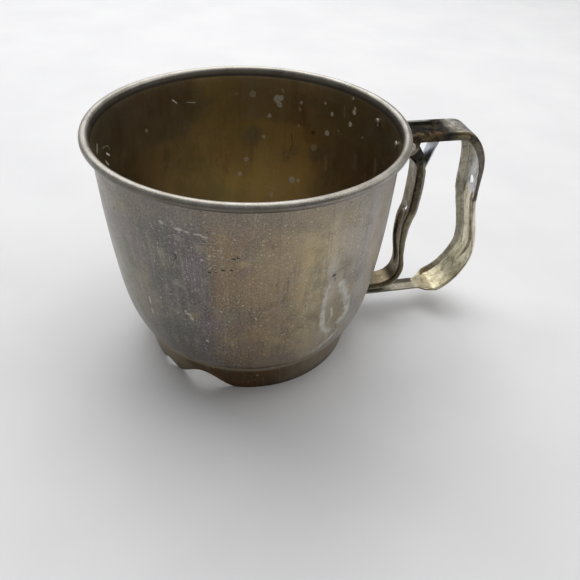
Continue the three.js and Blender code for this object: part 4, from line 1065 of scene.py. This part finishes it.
ring = lathe("foot_ring", [(50.0, 1.0)] * len(ring_prof), 360, (M_FOOT,), None, ring_warp, angle=40)
boolean(ring, [rod("cut", around(s * 9.5, 44, 11.6), around(s * 9.5, 56, 11.6), 1.3, 20) for s in (-1, 1)], angle=40)
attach(ring, "cup")
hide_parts("base_ring")


# =====================================================================
# screen: two sets of crimped wires, with the ring that holds them
# =====================================================================
PITCH, WIRE, SR = 1.6, 0.17, 46.5
verts, faces = [], []
zc = (14.35 + 14.85) / 2
amp = 0.5 * (14.85 - 14.35) - WIRE - 0.004
n_wire = int(SR // PITCH)
SIDES = 5
for d in (0, 1):
    for k in range(-n_wire, n_wire + 1):
        c = k * PITCH
        if abs(c) >= SR - 0.5:
            continue
        half = math.sqrt(SR * SR - c * c) - 0.05
        spans = [(-half, half)]
        if abs(c) < 2.3:                                 # room for the spindle
            g = math.sqrt(2.3 ** 2 - c * c)
            spans = [(-half, -g), (g, half)]
        for s0, s1 in spans:
            n = max(int((s1 - s0) / (PITCH / 2)), 2)
            base = len(verts)
            for i in range(n + 1):
                s = s0 + (s1 - s0) * i / n
                ph = math.cos(math.pi * s / PITCH) * (1 if (k + d) % 2 else -1)
                z = zc + amp * ph
                for j in range(SIDES):
                    t = 2 * math.pi * (j + 0.5) / SIDES
                    o, u = WIRE * math.cos(t), WIRE * math.sin(t)
                    verts.append(Vector(P3(s, c + o, z + u) if d == 0 else P3(c + o, s, z + u)) * MM)
            for i in range(n):
                for j in range(SIDES):
                    a0, a1 = base + i * SIDES + j, base + i * SIDES + (j + 1) % SIDES
                    faces.append([a0, a1, a1 + SIDES, a0 + SIDES])
            faces.append([base + j for j in range(SIDES)][::-1])
            faces.append([base + n * SIDES + j for j in range(SIDES)])
screen = mesh_object("screen_mesh", verts, faces, (M_SCREEN,), angle=80)
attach(screen, "cup")
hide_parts("sieve_screen")

sring = lathe("screen_clamp_ring", rounded([(46.85, 14.2), (49.85, 14.2), (49.85, 15.0), (46.85, 15.0)], 0.2, 2), 180, (M_INNER,))
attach(sring, "cup")
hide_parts("screen_ring")


# =====================================================================
# spindle, washers, hub and agitator
# =====================================================================
def turned(name, profile, mat, body, node, r=0.15, segs=48):
    o = lathe(name, rounded(profile, r, 3), segs, (mat,), angle=40)
    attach(o, body)
    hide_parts(node)
    return o


turned("spindle", [(0, 11.6), (1.3, 11.62), (2.3, 11.85), (3.1, 12.25), (3.4, 12.6), (3.4, 12.9), (1.6, 12.9), (1.6, 20.7), (3.0, 20.7), (3.0, 20.95),
                   (2.5, 21.35), (1.5, 21.7), (0.7, 21.8), (0, 21.8)], M_RIVET, "cup", "spindle_rivet", 0.2)
turned("washer_lower", [(1.9, 13.2), (7.0, 13.2), (7.0, 14.05), (1.9, 14.05)], M_INNER, "cup", "spindle_washer_lower")
turned("washer_upper", [(1.9, 15.15), (6.0, 15.15), (6.0, 15.7), (1.9, 15.7)], M_INNER, "cup", "spindle_washer_upper")
turned("washer_top", [(1.9, 19.8), (4.4, 19.8), (4.4, 20.4), (1.9, 20.4)], M_INNER, "cup", "spindle_washer_top")
turned("agitator_sleeve", [(1.9, 17.1), (4.6, 17.1), (4.6, 17.8), (3.4, 17.8), (3.4, 19.5), (1.9, 19.5)], M_INNER, "agitator", "agitator_hub", 0.25)

CRANK_AZ, CRANK_R = -116.3, 15.0


def arm_half(s):
    """half width of an arm at distance s from the spindle"""
    if s < 12:
        return 5.6 - 1.1 * smoothstep(4, 12, s)
    if s < 38:
        return 4.5 - 0.55 * (s - 12) / 26
    u = (s - 38) / 6.0
    return 3.95 * math.sqrt(max(1 - u * u, 0.0))


def polygon_plate(name, outline, z0, z1, mats=(), angle=35):
    """a plate from a simple outline in XY (row mm)"""
    n = len(outline)
    v = [Vector((x, y, z)) * MM for z in (z0, z1) for x, y in outline]
    f = [[i, (i + 1) % n, n + (i + 1) % n, n + i] for i in range(n)]
    f += [list(range(n))[::-1], [n + i for i in range(n)]]
    return mesh_object(name, v, f, mats, angle=angle)


outline = []
for k in range(4):
    az = math.radians(CRANK_AZ + 90 * k)
    ca, sa = math.cos(az), math.sin(az)
    ss = [7.2, 9, 12, 16, 20, 24, 28, 32, 36, 38, 39.5, 41, 42.2, 43.1, 43.7, 43.95]
    right = [(s, -arm_half(s)) for s in ss]
    left = [(s, arm_half(s)) for s in reversed(ss)]
    for s, y in right + [(44.0, 0.0)] + left:
        outline.append((AX / MM + s * ca - y * sa, s * sa + y * ca))
arms = polygon_plate("agitator_arms", outline, 16.0, 16.8, (M_INNER,))
cutters = [rod("cut", P3(0, 0, 10), P3(0, 0, 24), 1.9, 40)]
ca, sa = math.cos(math.radians(CRANK_AZ)), math.sin(math.radians(CRANK_AZ))
CRANK = (CRANK_R * ca, CRANK_R * sa)
cutters.append(rod("cut", P3(*CRANK, 10), P3(*CRANK, 24), 1.3, 32))
for k in range(4):
    az = math.radians(CRANK_AZ + 90 * k)
    c, s_ = math.cos(az), math.sin(az)
    pts = []
    for x0, sgn in ((35.0, 1), (21.3, -1)):
        for i in range(13):
            t = math.radians(-90 + 180 * i / 12) if sgn > 0 else math.radians(90 + 180 * i / 12)
            r0 = 1.25 if sgn > 0 else 1.5
            px_, py_ = x0 + r0 * math.cos(t), r0 * math.sin(t)
            pts.append((AX / MM + px_ * c - py_ * s_, px_ * s_ + py_ * c))
    cutters.append(polygon_plate("cut", pts, 14, 19))
boolean(arms, cutters)
flanges = []
for k in range(4):
    az = math.radians(CRANK_AZ + 90 * k)
    c, s_ = math.cos(az), math.sin(az)
    for sg in (-1, 1):
        side = []
        for off in (-0.35, 0.35):
            row = [(s, sg * (arm_half(s) - 0.40) + off) for s in [20 + 16 * i / 12 for i in range(13)]]
            side += row if off < 0 else row[::-1]
        pts = [(AX / MM + x * c - y * s_, x * s_ + y * c) for x, y in side]
        flanges.append(polygon_plate("lip", pts, 16.5, 17.4, (M_INNER,)))
# raised ring pressed round the middle
boss = lathe("boss", [(5.0, 16.4), (6.0, 16.4), (8.2, 16.4), (8.2, 16.8), (7.6, 17.02), (6.6, 17.05), (5.6, 17.02), (5.0, 16.8)], 64, (M_INNER,))
boolean(arms, flanges + [boss], "UNION", 35)
bevel(arms, 0.14, 45, 2)
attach(arms, "agitator")
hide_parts("agitator_blades")


# =====================================================================
# wire link
# =====================================================================
def bent(points, radius, n=8):
    """3-D polyline with its corners turned into arcs"""
    P = [Vector(p) for p in points]
    out = [P[0]]
    for a, p, b in zip(P, P[1:], P[2:]):
        da, db = (a - p).normalized(), (b - p).normalized()
        ang = da.angle(db)
        cut = radius / math.tan(ang / 2)
        s, e = p + da * cut, p + db * cut
        centre = p + (da + db).normalized() * (radius / math.sin(ang / 2))
        for k in range(n + 1):
            v = (s - centre).lerp(e - centre, k / n)
            out.append(centre + v.normalized() * radius)
    out.append(P[-1])
    return out


def tube(name, path, r, sides, mat):
    """a round wire along a path, in mm, with rounded ends"""
    fine = [path[0]]
    for a, b in zip(path, path[1:]):
        n = max(int((b - a).length / 2.5), 1)
        fine += [a.lerp(b, (i + 1) / n) for i in range(n)]
    path = fine
    verts, faces = [], []
    t0 = (path[1] - path[0]).normalized()
    u = t0.orthogonal().normalized()
    rings = []
    ends = [(0.0, -r, t0)]
    for i, p in enumerate(path):
        t = ((path[min(i + 1, len(path) - 1)] - path[max(i - 1, 0)])).normalized()
        u = (u - t * u.dot(t)).normalized()
        w = t.cross(u)
        if i == 0:
            for k in (0.35, 0.7, 0.92):
                rings.append((p - t * 0, u, w, t, k))
        rings.append((p, u, w, t, 1.0))
        if i == len(path) - 1:
            for k in (0.92, 0.7, 0.35):
                rings.append((p + t * 0, u, w, t, k))
    m = len(rings)
    for idx, (p, u_, w_, t_, k) in enumerate(rings):
        off = math.sqrt(1 - k * k) * r
        if idx < 3:
            p = p + t_ * (r * 0.5) - t_ * off * 0.5
        elif idx > m - 4:
            p = p - t_ * (r * 0.5) + t_ * off * 0.5
        elif idx == 3:
            p = p + t_ * (r * 0.5)
        elif idx == m - 4:
            p = p - t_ * (r * 0.5)
        for j in range(sides):
            a = 2 * math.pi * j / sides
            verts.append((p + (u_ * math.cos(a) + w_ * math.sin(a)) * (r * k)) * MM)
    for i in range(m - 1):
        for j in range(sides):
            faces.append([i * sides + j, i * sides + (j + 1) % sides, (i + 1) * sides + (j + 1) % sides, (i + 1) * sides + j])
    faces.append([j for j in range(sides)][::-1])
    faces.append([(m - 1) * sides + j for j in range(sides)])
    return mesh_object(name, verts, faces, (mat,), angle=60)


HOOK = (61.0, 0.78)
link = tube("wire_link", bent([P3(*CRANK, 15.45), P3(*CRANK, 18.8), P3(*HOOK, 18.8), P3(*HOOK, 13.4)], 1.6), 1.0, 20, M_WIRE)
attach(link, "link")
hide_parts("drive_link")


# =====================================================================
# channel pieces: a stamped section carried along a bent line
# =====================================================================
def section(wb, L, flare, t, rc, emb, embw, near=None, edge_sharp=0.28):
    """closed outline of a channel's section, [(y, n)]: y across, n inwards from the web's outer face.
    wb half width of the flat web, L length of a flange, flare its lean outwards (deg),
    emb height of the pressed middle (inwards), embw its half width"""
    th = math.radians(90 - flare)                        # turn from the web to the flange
    rc = max(rc, t * 0.6)
    def half(length):
        mid = []
        NW = 16
        for i in range(NW + 1):
            y = wb * i / NW
            mid.append((y, t / 2 + emb * press(y, embw, edge_sharp)))
        cy, cn = wb, t / 2 + rc
        for i in range(1, 7):
            a = th * i / 6
            mid.append((cy + rc * math.sin(a), cn - rc * math.cos(a)))
        ey, en = mid[-1]
        rest = max(length - rc * th, 0.05)
        for i in range(1, 5):
            mid.append((ey + math.cos(th) * rest * i / 4, en + math.sin(th) * rest * i / 4))
        return mid

    mid, other = half(L), half(L if near is None else near)
    full = [(-y, n) for y, n in reversed(other)] + mid[1:]
    nrm = []
    for i, p in enumerate(full):
        a, b = full[max(i - 1, 0)], full[min(i + 1, len(full) - 1)]
        dy, dn = b[0] - a[0], b[1] - a[1]
        l = math.hypot(dy, dn) or 1
        nrm.append((dn / l, -dy / l))                    # towards the web's outer face
    outer = [(p[0] + q[0] * t / 2, p[1] + q[1] * t / 2) for p, q in zip(full, nrm)]
    inner = [(p[0] - q[0] * t / 2, p[1] - q[1] * t / 2) for p, q in zip(full, nrm)]
    tips = []
    for e, f in ((full[-1], full[-2]), (full[0], full[1])):
        l = max(math.hypot(e[0] - f[0], e[1] - f[1]), 1e-6)
        tips.append((e[0] + (e[0] - f[0]) / l * t * 0.32, e[1] + (e[1] - f[1]) / l * t * 0.32))
    tip_b, tip_a = tips
    return outer + [tip_b] + inner[::-1] + [tip_a]


def press(y, w, edge):
    if w <= 0.05:
        return 0.0
    return 1 - smoothstep(w * (1 - edge), w * (1 + edge * 0.35), abs(y))


def sweep(name, line, attrs, sect, mat, step=0.9, angle=38):
    """line [(x, z)] is the web's outer face about the cup's axis; attrs(s, x, z) gives the section's numbers"""
    pts = catmull(line, step)
    verts, faces = [], []
    s, n = 0.0, 0
    total = sum((b - a).length for a, b in zip(pts, pts[1:]))
    for i, p in enumerate(pts):
        if i:
            s += (p - pts[i - 1]).length
        a, b = pts[max(i - 1, 0)], pts[min(i + 1, len(pts) - 1)]
        t = (b - a).normalized()
        inn = Vector((t.y, -t.x))
        ring_ = sect(*attrs(s / total, p.x, p.y))
        n = len(ring_)
        for y, d in ring_:
            q = p + inn * d
            verts.append(Vector(P3(q.x, y, q.y)) * MM)
    m = len(pts)
    for i in range(m - 1):
        for j in range(n):
            faces.append([i * n + j, i * n + (j + 1) % n, (i + 1) * n + (j + 1) % n, (i + 1) * n + j])
    # the two ends, as strips between the outer and inner faces
    h = (n - 2) // 2
    for base, flip in ((0, False), ((m - 1) * n, True)):
        o = [base + i for i in range(h)]
        q = [base + h + 1 + (h - 1 - i) for i in range(h)]
        cap = [[o[i], o[i + 1], q[i + 1], q[i]] for i in range(h - 1)]
        cap.append([o[0], q[0], base + n - 1])
        cap.append([o[-1], base + h, q[-1]])
        for f in cap:
            faces.append(f if flip else f[::-1])
    return mesh_object(name, verts, faces, (mat,), angle=angle)


def plate_xz(name, outline, y0, y1, mat):
    n = len(outline)
    v = [Vector(P3(x, y, z)) * MM for y in (y0, y1) for x, z in outline]
    f = [[i, (i + 1) % n, n + (i + 1) % n, n + i] for i in range(n)]
    f += [list(range(n)), [n + i for i in range(n)][::-1]]
    return mesh_object(name, v, f, (mat,) if mat else ())


# ---------------------------------------------------------------- handle strap
T_S = 0.9
STRAP_LINE = [(64.3, 99.7), (70.0, 99.75), (78.0, 99.8), (86.0, 99.8), (92.0, 99.75), (95.6, 99.5), (98.7, 98.4), (102.5, 94.9), (105.4, 90.8),
              (107.3, 86.5), (108.3, 81.9), (108.6, 77.0), (108.6, 72.5), (108.8, 67.9), (109.6, 62.0), (111.0, 55.8),
              (112.7, 49.5), (114.1, 43.8), (115.0, 37.4), (114.8, 30.8), (112.7, 24.6), (109.0, 18.4), (104.4, 13.5),
              (99.3, 10.4), (96.6, 9.93), (93.0, 9.9), (88.0, 9.9), (78.0, 9.9), (66.0, 9.9), (51.9, 9.9)]


def strap_attrs(s, x, z):
    top = z > 97.5 and x < 99
    low = z < 10.30 and x < 98.6
    if low:
        # shoulders, then the narrow flat strap
        k = min(max((x - 90.6) / 7.2, 0.0), 1.0)
        return (lerp(3.0, 6.7, k), lerp(1.1, 3.3, k), lerp(89.0, 54.0, smoothstep(0.25, 1.0, k)), T_S, 0.9, 0.0, 2.0)
    if top:
        rec = smoothstep(63, 66, x) * (1 - smoothstep(83.0, 89.5, x))
        return (6.6, 3.75, 0.0, T_S, 0.9, 1.05 * rec, 5.0 - 1.6 * smoothstep(80, 89, x))
    # down the grip; k goes from the deep channel to the flared one
    k = smoothstep(67.5, 60.5, z)
    deep = table([(60, 4.0), (70, 4.35), (82, 4.7), (92, 4.1), (97, 3.75)], z)
    k2 = smoothstep(26.0, 13.0, z)
    k3 = smoothstep(46.0, 28.0, z)
    flare = lerp(0.0, lerp(50.0, 54.0, k2), k)
    wb = lerp(6.6, lerp(5.9, 6.8, k3), k)
    L = lerp(deep, lerp(4.3, 3.3, k3), k)
    near = lerp(table([(66, 1.9), (72, 2.0), (78, 2.5), (84, 3.1), (90, 3.6), (97, 3.75)], z), lerp(4.3, 3.3, k3), k)
    rib = smoothstep(69.0, 62.0, z) * smoothstep(22.0, 33.0, z)
    rw = 3.9 * smoothstep(21.0, 40.0, z) + 0.02
    return (wb, L, flare, T_S, 0.9, 0.9 * rib, rw, near)


strap = sweep("handle_strap_sheet", STRAP_LINE, strap_attrs, section, M_STRAP, 0.8)
extra = []
# ears beside the trigger's pin
PIV = (69.5, 94.0)
ear = []
for i in range(25):
    t = math.radians(-205 + 230 * i / 24)
    ear.append((PIV[0] + 4.4 * math.cos(t), PIV[1] + 4.4 * math.sin(t)))
ear_out = [(65.2, 98.6)] + ear[2:-2] + [(75.0, 98.6)]
for sy in (-1, 1):
    e = plate_xz("ear", ear_out, min(sy * 6.6, sy * 7.5), max(sy * 6.6, sy * 7.5), M_STRAP)
    extra.append(bevel(e, 0.2, 60, 2))


def band(name, r0, r1, rows, half, mat, n=28):
    """a curved plate on a round or conical wall; rows [(z, share of half)], r0/r1 functions of z"""
    verts, faces = [], []
    m = len(rows)
    for side in (r0, r1):
        for z, share in rows:
            for i in range(n + 1):
                u = -1 + 2 * i / n
                a = u * half * share / ((r0(z) + r1(z)) / 2)
                verts.append(Vector(P3(side(z) * math.cos(a), side(z) * math.sin(a), z)) * MM)
    w = n + 1
    off = m * w
    for j in range(m - 1):
        for i in range(n):
            a = j * w + i
            faces.append([a, a + 1, a + 1 + w, a + w][::-1])
            faces.append([off + a, off + a + 1, off + a + 1 + w, off + a + w])
        for i in (0, n):
            a = j * w + i
            faces.append([a, a + w, off + a + w, off + a] if i else [a, off + a, off + a + w, a + w])
    for i in range(n):
        faces.append([i, off + i, off + i + 1, i + 1][::-1])
        a = (m - 1) * w + i
        faces.append([a, a + 1, off + a + 1, off + a][::-1])
    return mesh_object(name, verts, faces, (mat,))


def tab_rows(z0, z1, cut, n=14):
    """rows of a tab with rounded corners"""
    rows = []
    for i in range(n + 1):
        z = lerp(z0, z1, i / n)
        e = min(z - z0, z1 - z)
        share = 1.0 if e > cut else 1 - 0.16 * (1 - e / cut) ** 2
        rows.append((z, share))
    return rows


up = band("upper_tab", lambda z: 63.2, lambda z: 64.1, tab_rows(93.4, 101.3, 2.6), 16.5, M_STRAP)
lo_tab = band("lower_tab", lambda z: foot_r(z) + 0.36, lambda z: foot_r(z) + 1.26, tab_rows(9.9, 14.9, 1.6), 11.5, M_STRAP)
extra += [bevel(up, 0.18, 60, 2), bevel(lo_tab, 0.18, 60, 2)]
boolean(strap, extra, "UNION", 38)
cuts = [rod("cut", around(s * 11.05, 60, 97.5), around(s * 11.05, 68, 97.5), 1.6, 24) for s in (-1, 1)]
cuts += [rod("cut", around(s * 9.5, 46, 11.6), around(s * 9.5, 58, 11.6), 1.3, 24) for s in (-1, 1)]
cuts += [rod("cut", P3(PIV[0], -12, PIV[1]), P3(PIV[0], 12, PIV[1]), 1.5, 32),
         rod("cut", P3(91.0, 0, 96), P3(91.0, 0, 103), 1.06, 28),
         rod("cut", P3(103.0, 0, 72.0), P3(113.0, 0, 71.4), 2.1, 40)]
boolean(strap, cuts, angle=38)
bevel(strap, 0.12, 55, 1)
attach(strap, "cup")
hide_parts("handle_strap")


# ---------------------------------------------------------------- trigger
T_T = 0.9
TRIG_LINE = [(57.8, 17.2), (62.0, 17.2), (66.0, 17.2), (69.0, 17.5), (72.4, 18.8), (75.0, 21.6), (76.2, 25.6), (76.1, 30.2), (75.2, 35.3),
             (74.4, 40.5), (74.2, 46.5), (74.4, 52.2), (75.0, 55.6), (76.0, 58.9), (76.3, 63.0), (76.5, 69.0), (76.5, 75.5),
             (76.2, 80.5), (75.5, 84.2), (74.9, 86.8)]


def trig_attrs(s, x, z):
    # half width of the flat web, flanges, and the pointed pressing of the lower half
    toe = z < 19 and x < 72
    depth = table([(17.2, 3.1), (24, 2.6), (32, 1.9), (40, 2.7), (47, 3.1), (55, 3.7), (62, 3.9), (72, 4.1), (79, 4.0), (83, 3.4), (87, 2.2)], z)
    if toe:
        depth = 3.1
    spread = 1.1 * smoothstep(80.0, 87.5, z)
    rec = smoothstep(24.5, 30.0, z) * (1 - smoothstep(53.0, 57.5, z))
    rw = 3.6 * math.sqrt(max(math.sin(math.pi * min(max((z - 24.0) / 33.5, 0.0), 1.0)), 0.0)) + 0.02
    return (4.3 + spread, depth, 4.0 * smoothstep(24, 34, z) * (1 - smoothstep(50, 60, z)), T_T, 0.85, 1.0 * rec, rw)


def trig_section(*a):
    return section(*a)


def reversed_in(line):
    return line


# the trigger's line runs from the toe up to the ears, so that its hollow side is towards the grip
trig = sweep("trigger_sheet", TRIG_LINE, trig_attrs, section, M_TRIG, 0.8)
lobes = []
ear_side = [(PIV[0] + 3.7 * math.cos(math.radians(a)), PIV[1] + 3.7 * math.sin(math.radians(a))) for a in range(20, 221, 8)]
ear_line = ear_side + [(68.2, 90.2), (71.0, 88.2), (73.0, 86.4), (74.9, 83.8), (76.6, 80.8), (79.6, 83.5), (79.2, 85.2), (77.0, 90.0), (74.6, 93.6), (73.4, 95.0)]


def ear_plate(sy):
    n = len(ear_line)
    v = []
    for off in (0.0, T_T):
        for x, z in ear_line:
            k = smoothstep(80.0, 87.5, z)
            y = (6.3 - T_T + off) if k >= 1 else lerp(5.2 - T_T + off, 6.3 - T_T + off, k)
            v.append(Vector(P3(x, sy * y, z)) * MM)
    f = [[i, (i + 1) % n, n + (i + 1) % n, n + i] for i in range(n)]
    f += [list(range(n)), [n + i for i in range(n)][::-1]]
    return mesh_object("ear", v, f, (M_TRIG,))


lobes = [bevel(ear_plate(-1), 0.18, 60, 2), bevel(ear_plate(1), 0.18, 60, 2)]
boolean(trig, lobes, "UNION", 38)
toe_slot = bevel(block("toe_slot", HOOK[0] - 1.75, HOOK[0] + 1.75, -2.4, 2.4, 15, 19), 0.9, 40, 4)
boolean(trig, [rod("cut", P3(PIV[0], -12, PIV[1]), P3(PIV[0], 12, PIV[1]), 1.5, 32),
               rod("cut", P3(70, 0, 59.3), P3(82, 0, 59.7), 1.9, 36), toe_slot], angle=38)
bevel(trig, 0.12, 55, 1)
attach(trig, "trigger")
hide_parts("trigger_lever")


# ---------------------------------------------------------------- pin, rivets and spring
def spun(name, profile, origin, direction, mat, body, node, segs=40, r=0.15):
    """a turned body whose axis runs along direction from origin; profile [(r, distance)]"""
    o = lathe(name, rounded(profile, r, 3), segs, (mat,), axis=(0.0, 0.0), angle=40)
    q = Vector((0, 0, 1)).rotation_difference(Vector(direction).normalized())
    m = Matrix.Translation(Vector(origin) * MM) @ q.to_matrix().to_4x4()
    o.data.transform(m)
    o.data.update()
    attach(o, body)
    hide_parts(node)
    return o


spun("pivot_pin", [(0, -9.0), (0.9, -8.95), (1.7, -8.7), (2.3, -8.25), (2.3, -7.8), (1.2, -7.8), (1.2, 7.8), (2.3, 7.8), (2.3, 8.25), (1.7, 8.7),
                   (0.9, 8.95), (0, 9.0)], P3(PIV[0], 0, PIV[1]), (0, 1, 0), M_RIVET, "cup", "trigger_pivot_pin")
for sy, nm in ((-1, "front"), (1, "back")):
    a = math.radians(sy * 11.05)
    spun("upper_rivet_" + nm + "_head", [(0, 60.95), (0.7, 60.98), (1.3, 61.15), (1.9, 61.5), (1.9, 61.75), (1.3, 61.75), (1.3, 64.4), (2.3, 64.4),
                                         (2.2, 64.8), (1.7, 65.2), (0.9, 65.45), (0, 65.5)], P3(0, 0, 97.5), (math.cos(a), math.sin(a), 0),
         M_RIVET, "cup", "upper_rivet_" + nm)
    a = math.radians(sy * 9.5)
    w = foot_r(11.6)
    spun("lower_rivet_" + nm + "_head", [(0, w - 1.75), (0.7, w - 1.72), (1.2, w - 1.55), (1.45, w - 1.25), (1.0, w - 1.25), (1.0, w + 1.75), (1.9, w + 1.75),
                                         (1.8, w + 2.1), (1.3, w + 2.4), (0.7, w + 2.53), (0, w + 2.55)], P3(0, 0, 11.6), (math.cos(a), math.sin(a), 0),
         M_RIVET, "cup", "lower_rivet_" + nm)
spun("spring_rivet", [(0, 96.9), (0.8, 96.95), (1.5, 97.1), (1.9, 97.35), (1.9, 97.55), (1.0, 97.55), (1.0, 99.62), (0.8, 99.78),
                      (0.4, 99.82), (0, 99.82)], P3(91.0, 0, 0), (0, 0, 1), M_STRAP, "cup", "leaf_spring_rivet")

SPRING_LINE = [(93.6, 98.1), (91.0, 98.1), (88.4, 98.1), (87.0, 97.9), (85.6, 96.6), (84.4, 93.6), (83.2, 90.4), (82.3, 87.2), (81.4, 84.3),
               (80.4, 81.4), (79.1, 78.0), (78.2, 75.4), (77.95, 73.6), (78.1, 72.4)]
pts = catmull(SPRING_LINE, 0.7)
verts, faces = [], []
NC = 8
for i, p in enumerate(pts):
    a, b = pts[max(i - 1, 0)], pts[min(i + 1, len(pts) - 1)]
    t = (b - a).normalized()
    nn = Vector((t.y, -t.x))
    s = i / (len(pts) - 1)
    hw = 3.8 * (1 - 0.45 * smoothstep(0.93, 1.0, s) ** 2) * (1 - 0.25 * (1 - smoothstep(0.0, 0.04, s)))
    row = [(-hw + 0.15 + (2 * hw - 0.3) * j / NC, 0.3) for j in range(NC + 1)] + [(hw, 0.0)]
    row += [(hw - 0.15 - (2 * hw - 0.3) * j / NC, -0.3) for j in range(NC + 1)] + [(-hw, 0.0)]
    for y, d in row:
        q = p + nn * (d + 0.10 * (1 - (y / 3.8) ** 2) * 0)
        verts.append(Vector(P3(q.x, y, q.y)) * MM)
n = len(row)
for i in range(len(pts) - 1):
    for j in range(n):
        faces.append([i * n + j, i * n + (j + 1) % n, (i + 1) * n + (j + 1) % n, (i + 1) * n + j])
faces.append(list(range(n))[::-1])
faces.append([(len(pts) - 1) * n + j for j in range(n)])
spring = mesh_object("spring_leaf", verts, faces, (M_SPRING,), angle=40)
boolean(spring, [rod("cut", P3(91.0, 0, 96), P3(91.0, 0, 100), 1.3, 28)], angle=40)
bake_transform(spring)
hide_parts("leaf_spring")

# the wire inside the rolled rim stays as it is, with its own finish
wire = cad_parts["rim_wire"]
wire.data.materials.clear()
wire.data.materials.append(M_WIRE)


# =====================================================================
# floor, light and camera
# =====================================================================
def floor_finish():
    N = Nodes("floor_paper")
    P = N.obj
    n = N.noise(P, 14.0, 3.0, 0.5)
    col = N.mix(N.range(n, 0.3, 0.7), (0.70, 0.70, 0.712), (0.735, 0.735, 0.745))
    fine = N.noise(P, 1300.0, 3.0, 0.6)
    return N.done(col, 0.0, 0.62, N.bump(fine, 0.10, 0.0002))


fm = floor_finish()
F = 6.0
floor = mesh_object("floor", [(-F, -F, 0), (F, -F, 0), (F, F, 0), (-F, F, 0)], [[0, 1, 2, 3]], (fm,), merge=False)

world = bpy.data.worlds.new("studio")
scene.world = world
world.use_nodes = True
wt = world.node_tree
wt.nodes.clear()
wo = wt.nodes.new("ShaderNodeOutputWorld")
bg = wt.nodes.new("ShaderNodeBackground")
wt.links.new(bg.outputs[0], wo.inputs[0])
tc = wt.nodes.new("ShaderNodeTexCoord")
sx = wt.nodes.new("ShaderNodeSeparateXYZ")
wt.links.new(tc.outputs["Generated"], sx.inputs[0])
rz = wt.nodes.new("ShaderNodeMapRange")
rz.inputs[1].default_value, rz.inputs[2].default_value = -0.75, 0.95
rz.inputs[3].default_value, rz.inputs[4].default_value = 0.0, 1.0
dirv = wt.nodes.new("ShaderNodeVectorMath")
dirv.operation = "DOT_PRODUCT"
dirv.inputs[1].default_value = (0.05, 0.62, 0.78)
wt.links.new(tc.outputs["Generated"], dirv.inputs[0])
wt.links.new(dirv.outputs["Value"], rz.inputs[0])
cr = wt.nodes.new("ShaderNodeValToRGB")
cr.color_ramp.elements[0].position = 0.0
cr.color_ramp.elements[0].color = (0.10, 0.10, 0.10, 1)
cr.color_ramp.elements[1].position = 1.0
cr.color_ramp.elements[1].color = (1.0, 1.0, 1.0, 1)
wt.links.new(rz.outputs[0], cr.inputs[0])
wt.links.new(cr.outputs[0], bg.inputs[0])
bg.inputs[1].default_value = 0.49


def area(name, where, aim, w, h, power, colour=(1, 1, 1)):
    L = bpy.data.lights.new(name, "AREA")
    L.shape = "RECTANGLE"
    L.size, L.size_y = w, h
    L.energy = power
    L.color = colour
    o = bpy.data.objects.new(name, L)
    scene.collection.objects.link(o)
    o.location = where
    o.rotation_euler = (Vector(aim) - Vector(where)).to_track_quat("-Z", "Y").to_euler()
    return o


area("key_light", (-0.20, 0.90, 1.00), (0, 0, 0.05), 1.5, 1.0, 10.0)
area("top_light", (0.20, 0.30, 1.30), (0, 0, 0.05), 1.3, 1.0, 8.0)
area("side_light", (0.95, -0.10, 0.75), (0, 0, 0.05), 0.7, 0.8, 2.4, (1.0, 0.99, 0.97))

head, pitch, roll = math.radians(14.56), 0.685, 0.054
eye = Vector((AX - 0.0373, -0.2251, 0.2048))
fwd = Vector((math.sin(head) * math.cos(pitch), math.cos(head) * math.cos(pitch), -math.sin(pitch)))
right = Vector((math.cos(head), -math.sin(head), 0))
upv = right.cross(fwd)
r2 = right * math.cos(roll) + upv * math.sin(roll)
u2 = upv * math.cos(roll) - right * math.sin(roll)
cam = bpy.data.cameras.new("camera")
cam.sensor_width = 36.0
cam.lens = 36.448
cam.clip_start = 0.01
co = bpy.data.objects.new("camera", cam)
scene.collection.objects.link(co)
m3 = Matrix((r2, u2, -fwd)).transposed()
co.matrix_world = Matrix.Translation(eye) @ m3.to_4x4()
scene.camera = co

try:
    scene.view_settings.view_transform = "Standard"
except Exception:
    pass
